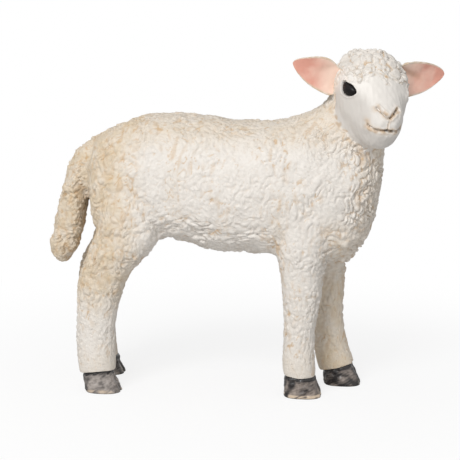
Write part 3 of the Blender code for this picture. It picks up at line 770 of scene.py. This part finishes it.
wash = np.clip(line * broken * (0.25 + 0.9 * patches + 0.8 * warm_tint_and_shade + 1.3 * tan_bands
                                + 0.6 * in_nape + 0.35 * in_crown * crown_strength
                                + 0.5 * in_tail * rise(z, 20.0, 24.0))
               + 0.30 * strokes * (patches + warm_tint_and_shade + 1.8 * tan_bands) * (1 - in_crown)
               + 0.7 * jaw_edge * rise(waves(curled, 0.9, 55), -0.5, 0.8), 0, 1) * wool
wash = np.maximum(wash, 0.85 * jaw_edge * broken)
# Painted shade along the rump's edge, where it stands over the tail's root: greyed and tinted cream.
rump_edge_shade = near(past_tail_edge(skin_points) + 0.25, 0.28) \
    * rise(z, 22.5, 24.0) * rise(z, 29.5, 28.0) * wool
warm_tint_and_shade = np.maximum(warm_tint_and_shade, 0.9 * rump_edge_shade)
shade = shade * wool * np.clip(strength, 0, 1) * (1 - 0.5 * plain - 0.3 * in_crown - 0.5 * in_tail)
shade = np.maximum(shade, 0.6 * rump_edge_shade)
ragged_gap = {name: gap + 0.035 * waves(skin_points, 0.45, 63) for name, gap in trench_gap.items()}
under_lip = path_gap(along_head, mirrored(trenches["mouth"][0], -1) - (0, 0, 0.26))
stroked = np.maximum.reduce([
    bare_face * near(ragged_gap["nostril"], 0.34),
    0.95 * near(under_lip, 0.22),
    0.8 * bell(along_head, (6.05, -1.30, -1.45), (0.45, 0.40, 0.45)),
    0.8 * bell(along_head, (6.15, 1.25, -1.60), (0.40, 0.35, 0.45)),
    near(ragged_gap["mouth"], 0.31),
    bell(along_head, (6.35, -2.20, -3.05), (0.60, 0.38, 0.55)),
    0.6 * near(ragged_gap["lip"], 0.16)])
blotch = np.clip(0.78 + 0.40 * waves(skin_points, 0.7, 61), 0, 1)
wash = np.clip(wash + stroked * blotch, 0, 1)
dark_line = np.maximum(near(ragged_gap["mouth"], 0.13) * (0.60 + 0.40 * rise(left, -1.4, -0.4)),
                       near(ragged_gap["nostril"], 0.11) * (0.55 + 0.45 * rise(left, -0.2, 0.4)))
dark_line = dark_line * np.clip(0.85 + 0.5 * waves(skin_points, 0.9, 62), 0.1, 1)
dark_line = np.maximum(dark_line, 0.20 * jaw_edge * broken * rise(up, -2.0, -3.5))
# Painted highlights: near-white spots along the right nostril and the right end of the mouth.
glint = np.maximum(near(trench_gap["nostril"], 0.09) * rise(left, -0.15, -0.5),
                   near(trench_gap["mouth"], 0.09) * rise(left, -0.6, -1.4))
glint = glint * rise(waves(skin_points, 0.6, 64), -0.6, 0.2)
# Painted shade on the face: the right cheek and jaw, the chin below the mouth and, faintly, the left side
# are greyed.
face_shade = bare_face * np.clip(0.9 * rise(left, -0.8, -2.6) * rise(up, 0.5, -1.5)
                           + 0.8 * rise(up, -3.4, -4.6) + 0.3 * rise(left, 1.5, 3.0), 0, 1)


# Painted skin. Ivory paint over the vinyl, with a tan wash that stays in the creases and tints the back,
# rump and tail, and painted shade and highlights over it. It dries matt, with a faint mottling from the
# brush.
ivory = (0.80, 0.755, 0.70, 1.0)
tan = (0.58, 0.39, 0.21, 1.0)
umber = (0.07, 0.05, 0.04, 1.0)
cream = (0.69, 0.575, 0.425, 1.0)
# Stone is painted shade in the creases, pale grey is painted shade on the face, and the last, near white,
# is painted highlights beside the nostril and the mouth.
stone = (0.50, 0.44, 0.38, 1.0)
face_white = (0.80, 0.76, 0.71, 1.0)
pale_grey = (0.49, 0.455, 0.42, 1.0)
highlight_white = (0.93, 0.91, 0.89, 1.0)


def feed(tree, node, inputs):
    """Sets a node's sockets to values, or joins them to the sockets of other nodes."""
    for name, value in inputs.items():
        if isinstance(value, bpy.types.NodeSocket):
            tree.links.new(value, node.inputs[name])
        else:
            node.inputs[name].default_value = value


def wire(tree, kind, inputs, **settings):
    """Adds a shader node of a kind, with its settings and its sockets."""
    node = tree.nodes.new("ShaderNode" + kind)
    for name, value in settings.items():
        setattr(node, name, value)
    feed(tree, node, inputs)
    return node


def mixed(tree, share, first, second):
    """A colour between two, by a share."""
    return wire(tree, "Mix", {0: share, 6: first, 7: second}, data_type="RGBA").outputs[2]


def worked(tree, operation, first, second):
    """What an operation makes of two values."""
    return wire(tree, "Math", {0: first, 1: second}, operation=operation).outputs[0]


def times(tree, first, second):
    """One value times another."""
    return worked(tree, "MULTIPLY", first, second)


def place_on_object(tree):
    """A place in the object's own coordinates."""
    return tree.nodes.new("ShaderNodeTexCoord").outputs["Object"]


def noise_of(tree, size, detail=3.0, swirl=0.0):
    """Noise on the object's own coordinates, with its features about this many millimetres across."""
    return wire(tree, "TexNoise", {"Vector": place_on_object(tree), "Scale": 1 / (size * to_metres),
                                   "Detail": detail, "Distortion": swirl}).outputs["Fac"]


def attribute(tree, name):
    """The value of one of the piece's own attributes."""
    return wire(tree, "Attribute", {}, attribute_name=name).outputs["Fac"]


def bumped(tree, height, strength, depth):
    """The way a surface faces with a relief of this height on it."""
    return wire(tree, "Bump", {"Strength": strength, "Distance": depth,
                               "Height": height}).outputs["Normal"]


def layered(tree, colour, layers):
    """A colour under layers of paint, each as thick as its attribute times its own strength."""
    for name, strength, over in layers:
        colour = mixed(tree, times(tree, attribute(tree, name), strength), colour, over)
    return colour


def new_paint(name):
    """An empty material, its nodes and its shader."""
    paint = bpy.data.materials.new(name)
    paint.use_nodes = True
    tree = paint.node_tree
    return paint, tree, tree.nodes["Principled BSDF"]


def fleece_paint():
    """Ivory, cream where it is warm and where the far legs are shaded, stone as painted shade in the
    creases and tan where the wash stays, with the face's own white greyed by painted shade, its dark
    lines and its painted highlights over it, and fine hairs as relief."""
    paint, tree, shader = new_paint("painted_fleece")
    warm = times(tree, attribute(tree, "warm"), times(tree, noise_of(tree, 1.6), 1.7))
    face = layered(tree, face_white, [("face_shade", 0.60, pale_grey)])
    colour = layered(tree, mixed(tree, warm, ivory, cream), [
        ("shade", 0.38, stone), ("bare", 1.0, face), ("wash", 0.80, tan),
        ("dark_line", 1.0, umber), ("glint", 1.0, highlight_white)])
    hairs = times(tree, noise_of(tree, 0.28, 4.0, 0.6), attribute(tree, "shaggy"))
    feed(tree, shader, {"Base Color": colour, "Roughness": 0.50, "Specular IOR Level": 0.38,
                        "Normal": bumped(tree, hairs, 0.8, 0.00014)})
    return paint


fleece = fleece_paint()


# The castings. Two torso halves, the head, the tail and four lower legs of solid vinyl, glued
# along flat seats. Each takes its own part of the skin, closed over where it is glued, and keeps
# the way that the whole skin faces, so that no seat shows as a crease.
skin_normals = read_all(skin.vertex_normals, "vector", 3)
loop_faces = np.repeat(np.arange(len(loop_counts)), loop_counts)
loop_nexts = np.arange(len(loop_points)) + 1
loop_nexts[loop_starts + loop_counts - 1] = loop_starts
loop_ends = np.sort(np.stack([loop_points, loop_points[loop_nexts]], 1), axis=1)
loop_order = np.lexsort((loop_ends[:, 1], loop_ends[:, 0]))
shared = (loop_ends[loop_order[:-1]] == loop_ends[loop_order[1:]]).all(axis=1)
shared_loops = np.stack([loop_order[:-1][shared], loop_order[1:][shared]], 1)
shared_labels = label_of_face[loop_faces[shared_loops]]
on_seam = shared_labels[:, 0] != shared_labels[:, 1]
seam_labels = np.sort(shared_labels[on_seam], axis=1)
seam_ends = loop_ends[shared_loops[on_seam, 0]]
paint_masks = {"wash": wash, "warm": warm_tint_and_shade, "bare": bare_face, "shade": shade,
               "dark_line": dark_line, "face_shade": face_shade, "glint": glint, "shaggy": 0.12 + 0.88 * wool}


def put_masks(mesh, masks):
    """Writes masks onto the points of a mesh, as attributes that its paint reads."""
    for name, mask in masks.items():
        mesh.attributes.new(name, "FLOAT", "POINT").data.foreach_set(
            "value", mask.astype(np.float32))


def seats_of(number, used):
    """The rims of a casting as pairs of its points, one list for each seat, with the way that the
    seat's face looks: out of this casting, into the one that is glued on."""
    toward = {2: neck_normal, 3: np.array((-1.0, 0, 0)), 1: np.array((0, -1.0, 0))}
    mine = (seam_labels == number).any(axis=1)
    ends = np.searchsorted(used, seam_ends[mine])
    inner, outer = seam_labels[mine].T
    kind = np.where(outer == 1, 1, outer)
    return [(ends[kind == each].tolist(),
             toward.get(each, np.array((0, 0, -1.0))) * (-1 if each == number else 1))
            for each in np.unique(kind)]


def loose_ends(rim):
    """The points where a rim stops, which are on one of its edges only."""
    points, times_met = np.unique(np.array(rim), return_counts=True)
    return points[times_met == 1].tolist()


def closed_over(shape, seats):
    """Closes a casting over each of its seats with flat faces, and gives these faces."""
    shape.verts.ensure_lookup_table()
    corner = shape.verts
    seams = []
    bridges = []
    for rim, way in seats:
        edges = [shape.edges.get((corner[first], corner[second])) for first, second in rim]
        stops = loose_ends(rim)
        seams.append((edges, way, len(stops)))
        if len(stops) == 2:
            bridges.append(shape.edges.new((corner[stops[0]], corner[stops[1]])))
            edges.append(bridges[-1])
    caps = []
    for edges, way, stops in seams:
        if stops > 2:
            edges = edges + bridges
        filled = bmesh.ops.triangle_fill(shape, edges=edges, normal=Vector(way))["geom"]
        faces = [part for part in filled if isinstance(part, bmesh.types.BMFace)]
        for face in faces:
            face.normal_update()
            if face.normal.dot(Vector(way)) < 0:
                face.normal_flip()
        caps += faces
    return caps


def cast_piece(name, number):
    """One casting: its part of the skin, closed over each seat, keeping the whole skin's normals."""
    mine = label_of_face == number
    loops = loop_points[np.repeat(mine, loop_counts)]
    used, corner = np.unique(loops, return_inverse=True)
    mesh = bpy.data.meshes.new(name)
    mesh.vertices.add(len(used))
    mesh.vertices.foreach_set("co", (skin_points[used] * to_metres).ravel())
    mesh.loops.add(len(loops))
    mesh.loops.foreach_set("vertex_index", corner)
    mesh.polygons.add(int(mine.sum()))
    counts = loop_counts[mine]
    mesh.polygons.foreach_set("loop_start", np.cumsum(counts) - counts)
    mesh.update(calc_edges=True)
    put_masks(mesh, {mask_name: mask[used] for mask_name, mask in paint_masks.items()})
    mesh.attributes.new("lay", "FLOAT_VECTOR", "POINT").data.foreach_set(
        "vector", skin_normals[used].astype(np.float32).ravel())
    shape = bmesh.new()
    shape.from_mesh(mesh)
    rim = [edge for edge in shape.edges if edge.is_boundary]
    caps = closed_over(shape, seats_of(number, used))
    for face in shape.faces:
        face.smooth = True
    for face in caps:
        face.smooth = False
        face.material_index = 0
    for edge in rim:
        edge.smooth = False
    first_cap = len(shape.faces) - len(caps)
    shape.to_mesh(mesh)
    shape.free()
    ends = read_all(mesh.loops, "vertex_index", kind=int)
    facing = read_all(mesh.attributes["lay"].data, "vector", 3)[ends]
    for cap in list(mesh.polygons)[first_cap:]:
        facing[cap.loop_start:cap.loop_start + cap.loop_total] = cap.normal
    mesh.normals_split_custom_set(facing.tolist())
    mesh.attributes.remove(mesh.attributes["lay"])
    piece = linked(name + "_skin", mesh)
    piece.data.materials.append(fleece)
    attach(piece, "root")
    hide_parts(name)


for number, name in enumerate(body_names):
    cast_piece(name, number)


# The ears. Two thin leaves of soft vinyl, hollowed in front and glued into the sides of the
# head. The hollow is sprayed pink, the rim is left cream and the back is white like the face.
ear_reach = (-0.70, 0.00, 0.60, 1.40, 2.30, 3.20, 4.00, 4.70, 5.10, 5.36, 5.46)
ear_edges = {
    "left_ear": ((1.50, 1.94, 2.12, 2.23, 2.23, 2.12, 1.94, 1.66, 1.40, 1.12, 0.86),
                 (-1.90, -2.12, -2.12, -1.98, -1.72, -1.36, -0.86, -0.26, 0.15, 0.51, 0.86)),
    "right_ear": ((0.55, 0.90, 1.40, 1.76, 1.84, 1.74, 1.58, 1.38, 1.18, 0.98, 0.76),
                  (-1.72, -2.30, -2.46, -2.26, -1.93, -1.49, -0.95, -0.36, 0.10, 0.47, 0.76)),
}
ear_length_share = {"left_ear": 1.028, "right_ear": 0.972}
ear_fold_share = {"left_ear": 0.9, "right_ear": 0.3}
ear_pink_start = {"left_ear": 0.2, "right_ear": 0.6}
ear_sweep = 8.0
ear_hollow = (0.75, 0.62, 0.56, 0.50, 0.44, 0.36, 0.29, 0.20, 0.13, 0.07, 0.0)
ear_thick = (0.80, 0.72, 0.62, 0.54, 0.48, 0.44, 0.40, 0.34, 0.26, 0.16, 0.02)
ear_rows = 70
ear_turns = 96
ear_pink = (0.80, 0.38, 0.29, 1.0)
ear_flesh = (0.93, 0.69, 0.57, 1.0)
fold_shade_brown = (0.50, 0.30, 0.20, 1.0)
ear_cream = (0.78, 0.68, 0.57, 1.0)


def eased_table(reach, stations, values):
    """A value read off a table of stations, joined by an easy curve through its points."""
    place = np.interp(reach, stations, np.arange(len(stations)))
    before = np.clip(np.floor(place).astype(int), 0, len(stations) - 2)
    values = np.asarray(values, float)
    slope = np.gradient(values)
    return easy_curve(place - before, values[before], values[before + 1],
                      slope[before], slope[before + 1])


def closed_grid(name, rings, masks, material, replaced, turned_in=False):
    """A closed surface from rings of points, one ring a row, its two ends drawn in to a point."""
    rows, turns = rings.shape[:2]
    quads = ring_quads(rows, turns)
    across = np.arange(turns)
    beside = (across + 1) % turns
    last_ring = (rows - 1) * turns
    first = np.stack([beside, across, np.full(turns, rows * turns)], 1)
    last = np.stack([across + last_ring, beside + last_ring, np.full(turns, rows * turns + 1)], 1)
    if turned_in:
        quads, first, last = quads[:, ::-1], first[:, ::-1], last[:, ::-1]
    points = np.concatenate([rings.reshape(-1, 3), rings[0].mean(axis=0)[None],
                             rings[-1].mean(axis=0)[None]])
    mesh = bpy.data.meshes.new(name)
    mesh.from_pydata((points * to_metres).tolist(), [],
                     quads.tolist() + first.tolist() + last.tolist())
    mesh.shade_smooth()
    put_masks(mesh, {mask_name: np.concatenate([mask.ravel(), [mask[0].mean(), mask[-1].mean()]])
                     for mask_name, mask in masks.items()})
    piece = linked(name, mesh)
    piece.data.materials.append(material)
    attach(piece, "root")
    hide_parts(replaced)


def ear_paint():
    """Pink in the hollow, fading to flesh at the root and browned by painted shade along the fold, cream
    at the rim and white behind.
    """
    paint, tree, shader = new_paint("painted_ear")
    inner = mixed(tree, times(tree, attribute(tree, "tip"), times(tree, noise_of(tree, 1.8), 1.8)),
                  ear_flesh, ear_pink)
    inner = layered(tree, inner, [("fold_and_shade", 0.80, fold_shade_brown)])
    colour = layered(tree, ear_cream, [("hollow", 1.0, inner), ("back", 1.0, face_white),
                                       ("wash", 0.6, tan)])
    feed(tree, shader, {"Base Color": colour, "Roughness": 0.5,
                        "Normal": bumped(tree, noise_of(tree, 0.4, 4.0), 0.2, 0.00004)})
    return paint


pinna = ear_paint()
sweep = math.radians(ear_sweep)
for side, name in ((1, "left_ear"), (-1, "right_ear")):
    reach, turn = np.meshgrid(np.interp(np.linspace(0, 1, ear_rows) ** 0.8, (0, 1),
                                        (ear_reach[0], ear_reach[-1])),
                              full_turn(ear_turns), indexing="ij")
    top, bottom, deep, thick = (eased_table(reach, ear_reach, values)
                                for values in (*ear_edges[name], ear_hollow, ear_thick))
    across = np.cos(turn)
    in_front = np.sin(turn)
    height = (top + bottom) / 2 + (top - bottom) / 2 * across
    bowl = deep * (across ** 2 - 1) + 0.5 * thick * np.sign(in_front) * abs(in_front) ** 0.6
    out_way = np.array((-math.sin(sweep), side * math.cos(sweep), 0))
    front_way = np.array((math.cos(sweep), side * math.sin(sweep), 0))
    local = mirrored(ear_root, side) + (ear_length_share[name] * reach)[..., None] * out_way \
        + height[..., None] * np.array((0, 0, 1.0)) + bowl[..., None] * front_way
    flat = local.reshape(-1, 3)
    along = reach.ravel()
    ripple = 0.02 * waves(flat, 1.8, 71) + 0.006 * waves(flat, 0.7, 72)
    wool_root = rise(along, 1.6, 0.2) * (in_front.ravel() < 0.3)
    ripple = ripple + 0.25 * wool_root * grain_height(*grains(flat, 0.8, 73))
    # A fold near the ear's root: a shallow dent, painted brown along it as its shade.
    fold_and_shade = near(flat[:, 2] - ear_root[2] - 1.15 + 0.35 * along, 0.38) \
        * rise(along, 3.4, 1.4) * ear_fold_share[name]
    ripple = ripple - 0.10 * fold_and_shade
    rings = from_head(flat + ripple[:, None] * front_way).reshape(local.shape)
    rim = 1 - rise(1 - abs(across), 0.03, 0.16)
    masks = {"hollow": rise(in_front, -0.1, 0.15) * (1 - rim),
             "back": rise(in_front, 0.0, -0.3),
             "tip": rise(reach, ear_pink_start[name], 3.4),
             "fold_and_shade": fold_and_shade.reshape(rim.shape),
             "wash": 0.9 * rim * np.clip(0.4 + 0.7 * waves(flat, 0.7, 74), 0, 1).reshape(rim.shape)}
    closed_grid(name + "_leaf", rings, masks, pinna, name, turned_in=side > 0)


# The eyes. Domes of black vinyl with a rounded almond outline, lacquered to a clear gloss. Each
# is pressed into the socket that the face has for it, with its edge under the lids.
eye_bulge = 0.48
eye_sink = 0.22
eye_turns = 64
eye_rows = 20
eye_flat_share = 0.02
eye_edge_share = 0.97
eye_back_shares = (1.0, 0.92, 0.5)
eye_back_heights = (0.0, -0.25, -0.35)
eye_black = (0.006, 0.005, 0.005, 1.0)
eye_smoke = (0.016, 0.014, 0.014, 1.0)


def eye_paint():
    """Black lacquer with a clear gloss."""
    paint, tree, shader = new_paint("black_lacquer")
    feed(tree, shader, {"Base Color": mixed(tree, noise_of(tree, 0.8), eye_black, eye_smoke),
                        "Roughness": 0.30, "Specular IOR Level": 0.14})
    return paint


lacquer = eye_paint()
turn = full_turn(eye_turns)
outline = eye_centre + eye_reach(turn)[:, None] * np.stack([np.cos(turn), np.sin(turn)], 1)
dome = np.linspace(0.0, eye_edge_share, eye_rows)
height = np.concatenate([eye_bulge * np.sqrt(1 - dome ** 2), eye_back_heights]) - eye_sink
share = np.concatenate([dome, eye_back_shares])
share[0] = eye_flat_share
for side, name in ((1, "left_eye"), (-1, "right_eye")):
    out_way, long_way, up_way = eye_axes(side)
    rings = mirrored(eye_middle, side) + share[:, None, None] * (
        outline[None, :, :1] * long_way + outline[None, :, 1:] * up_way) \
        + height[:, None, None] * out_way
    closed_grid(name + "_dome", from_head(rings), {}, lacquer, name, turned_in=side < 0)


# The hooves. Cloven hooves of dark vinyl with a flat sole, glued under the legs: charcoal at the
# top line, dry-brushed with taupe on the wall and cream along the worn edge of the sole.
hoof_height = 2.2
hoof_levels = (0.00, 0.00, 0.05, 0.16, 0.60, 1.20, 1.80, 2.15, 2.45, 2.62, 2.62)
hoof_fill = (0.10, 0.88, 0.96, 1.00, 1.00, 1.00, 1.00, 1.00, 0.96, 0.82, 0.10)
hoof_walls = {"front_left": (-2.20, -2.32, 2.26, 1.26), "front_right": (-2.30, -2.20, 2.16, 1.46),
              "rear_left": (-2.20, -2.20, 2.06, 1.30), "rear_right": (-2.04, -2.34, 2.28, 1.24)}
hoof_half = (1.76, 1.54)
hoof_brush = {"front_left": (0.34, 0.1, 0.3), "front_right": (0.54, 1.0, 0.4),
              "rear_left": (0.36, 0.1, 0.1), "rear_right": (0.80, 0.7, 0.0)}
worn_toward_toe = {"front_left": 0.3, "front_right": 0.3, "rear_left": 0.3, "rear_right": -0.6}
hoof_squareness = 2.5
hoof_turns = 160
hoof_rows = 90
cleft_depth = 0.75
cleft_half_width = 0.20
charcoal = (0.014, 0.011, 0.011, 1.0)
taupe = (0.40, 0.355, 0.325, 1.0)
hoof_brown = (0.27, 0.19, 0.14, 1.0)
worn_cream = (0.66, 0.53, 0.40, 1.0)


def hoof_paint():
    """Charcoal, with taupe where the dry brush caught the wall and cream along the sole's edge."""
    paint, tree, shader = new_paint("brushed_hoof")
    speckle = wire(tree, "MapRange", {"Value": noise_of(tree, 0.35, 5.0), "From Min": 0.30,
                                      "From Max": 0.55, "To Min": 0.55})
    brushed = times(tree, attribute(tree, "brushed"), speckle.outputs["Result"])
    wall = layered(tree, taupe, [("brown", 1.0, hoof_brown)])
    colour = layered(tree, mixed(tree, brushed, charcoal, wall), [("worn", 1.0, worn_cream)])
    feed(tree, shader, {"Base Color": colour, "Roughness": 0.32,
                        "Normal": bumped(tree, noise_of(tree, 0.4, 4.0), 0.6, 0.00008)})
    return paint


horn = hoof_paint()
turn = full_turn(hoof_turns)
along, aside = (np.sign(way) * abs(way) ** (2 / hoof_squareness)
                for way in (np.cos(turn), np.sin(turn)))
for number, (corner, (sole_x, sole_y)) in enumerate(hoof_places.items()):
    name = corner + "_hoof"
    heel_low, heel_high, toe_low, toe_high = hoof_walls[corner]
    brush_level, worn_level, brown_level = hoof_brush[corner]
    station = np.linspace(0, len(hoof_levels) - 1, hoof_rows)
    fill, level_up = (eased_table(station, np.arange(len(hoof_levels)), values)
                      for values in (hoof_fill, hoof_levels))
    level_up = np.clip(level_up, 0, None)
    level_share = np.clip(level_up / hoof_height, 0, 1)
    back = fill * (heel_low + (heel_high - heel_low) * level_share)
    front = fill * (toe_low + (toe_high - toe_low) * level_share)
    half = fill * (hoof_half[0] + (hoof_half[1] - hoof_half[0]) * level_share)
    long = (back + front)[:, None] / 2 + (front - back)[:, None] / 2 * along
    wide = half[:, None] * aside
    high = np.repeat(level_up[:, None], hoof_turns, axis=1)
    in_cleft = near(wide, cleft_half_width) * rise(long, 0.6, 1.6)
    long = long - cleft_depth * in_cleft * rise(high, -0.1, 0.1) * rise(high, 2.5, 1.3)
    lifted = high + top_line(corner, long) * rise(high, 0.0, hoof_height)
    places = np.stack([long + sole_x, wide + sole_y, lifted], axis=2)
    flat = places.reshape(-1, 3)
    rough = (0.035 * waves(flat, 1.3, 81 + number) + 0.022 * waves(flat, 0.6, 91 + number))
    rough = rough.reshape(high.shape) * rise(high, 0.1, 0.5) * rise(high, 2.6, 2.2)
    places[..., 0] += rough * along
    places[..., 1] += rough * aside
    sloped = flat - flat[:, :1] * (0, 0, 0.40)
    streaks = waves(sloped, 0.26, 85 + number, (3.5, 3.5, 1.0)).reshape(high.shape)
    dabbed = waves(flat, 1.2, 95 + number).reshape(high.shape)
    top_band = rise(high + 0.08 * dabbed + 0.06 * streaks, 2.06, 2.26)
    masks = {"brown": np.full(high.shape, brown_level),
             "brushed": np.clip(brush_level + 0.12 * streaks + 0.24 * dabbed, 0, 1) * (1 - in_cleft)
             * (1 - top_band) * rise(long + 0.3 * dabbed, -2.4, -1.2) * rise(high, -0.05, 0.15)
             * (1 - 0.6 * rise(long, 1.2, 1.9) * rise(streaks, -0.2, 0.8)),
             "worn": worn_level * (1 - rise(abs(high - 0.26), 0.10, 0.26)) * (1 - in_cleft)
             * rise(dabbed + 0.4 * streaks + worn_toward_toe[corner] * long, -0.5, 0.7)}
    closed_grid(name + "_horn", places, masks, horn, name)


# The studio. A pale floor and soft lamps, seen through a long lens from a little ahead of the
# square side view, towards the head, and slightly above.
camera_turn = math.radians(8.0)
camera_rise = math.radians(9.0)
camera_reach = 148.58
camera_target = np.array((-1.0717, -2.0155, 19.35))
lens = 100.0
sensor = 36.0
near_end = 0.001
room_light = 0.34
paper = (0.82, 0.82, 0.82, 1.0)
pure_white = (1.0, 1.0, 1.0, 1.0)
floor_half = 0.6
shadow_share = 0.20
shadow_reach = 0.075


def aimed(holder, target):
    """Turns a lamp or camera so that it looks at a place."""
    holder.rotation_euler = (Vector(target) - holder.location).to_track_quat("-Z", "Y").to_euler()


def lamp(name, place, size, power, target=(0, 0, 20)):
    """A square soft lamp at a place, aimed at the figure."""
    data = bpy.data.lights.new(name, "AREA")
    data.size = size * to_metres
    data.energy = power
    holder = linked(name, data)
    holder.location = Vector(place) * to_metres
    aimed(holder, Vector(target) * to_metres)


camera = linked("camera", bpy.data.cameras.new("camera"))
camera.data.lens = lens
camera.data.sensor_width = sensor
camera.data.clip_start = near_end
camera_way = np.array((math.sin(camera_turn) * math.cos(camera_rise),
                       -math.cos(camera_turn) * math.cos(camera_rise), math.sin(camera_rise)))
camera.location = Vector((camera_target + camera_way * camera_reach) * to_metres)
aimed(camera, Vector(camera_target * to_metres))
bpy.context.scene.camera = camera

lamp("key_lamp", (-60, -210, 195), 110, 0.52)
lamp("fill_lamp", (200, -220, 120), 220, 0.048)

world = bpy.data.worlds.new("studio")
bpy.context.scene.world = world
world.use_nodes = True
tree = world.node_tree
path = tree.nodes.new("ShaderNodeLightPath").outputs
seen = worked(tree, "MAXIMUM", path["Is Camera Ray"], path["Is Transmission Ray"])
seen = worked(tree, "MAXIMUM", seen, path["Is Glossy Ray"])
glow = wire(tree, "MapRange", {"Value": seen, "To Min": room_light, "To Max": 1.0})
feed(tree, tree.nodes["Background"], {"Strength": glow.outputs["Result"], "Color": pure_white})


def floor_paint():
    """White paper seen by the camera, with a share of real shading round the figure's feet."""
    paint, tree, shader = new_paint("white_paper")
    feed(tree, shader, {"Base Color": paper, "Roughness": 0.9})
    away = wire(tree, "VectorMath", {0: place_on_object(tree)}, operation="LENGTH")
    fade = wire(tree, "MapRange", {"Value": away.outputs["Value"], "From Max": shadow_reach,
                                   "To Min": shadow_share, "To Max": 0.0},
                interpolation_type="SMOOTHSTEP")
    white = wire(tree, "Emission", {"Color": pure_white, "Strength": 1.0})
    sheet = wire(tree, "BsdfDiffuse", {"Color": pure_white})
    shaded = wire(tree, "MixShader", {0: fade.outputs["Result"], 1: white.outputs[0],
                                      2: sheet.outputs[0]})
    light_path = tree.nodes.new("ShaderNodeLightPath")
    shown = wire(tree, "MixShader", {0: light_path.outputs["Is Camera Ray"],
                                     1: shader.outputs[0], 2: shaded.outputs[0]})
    feed(tree, tree.nodes["Material Output"], {"Surface": shown.outputs[0]})
    return paint


floor_mesh = bpy.data.meshes.new("floor")
floor_mesh.from_pydata([(-floor_half, -floor_half, 0), (floor_half, -floor_half, 0),
                        (floor_half, floor_half, 0), (-floor_half, floor_half, 0)], [],
                       [(0, 1, 2, 3)])
floor = linked("floor", floor_mesh)
floor.data.materials.append(floor_paint())

bpy.context.scene.view_settings.view_transform = "Standard"
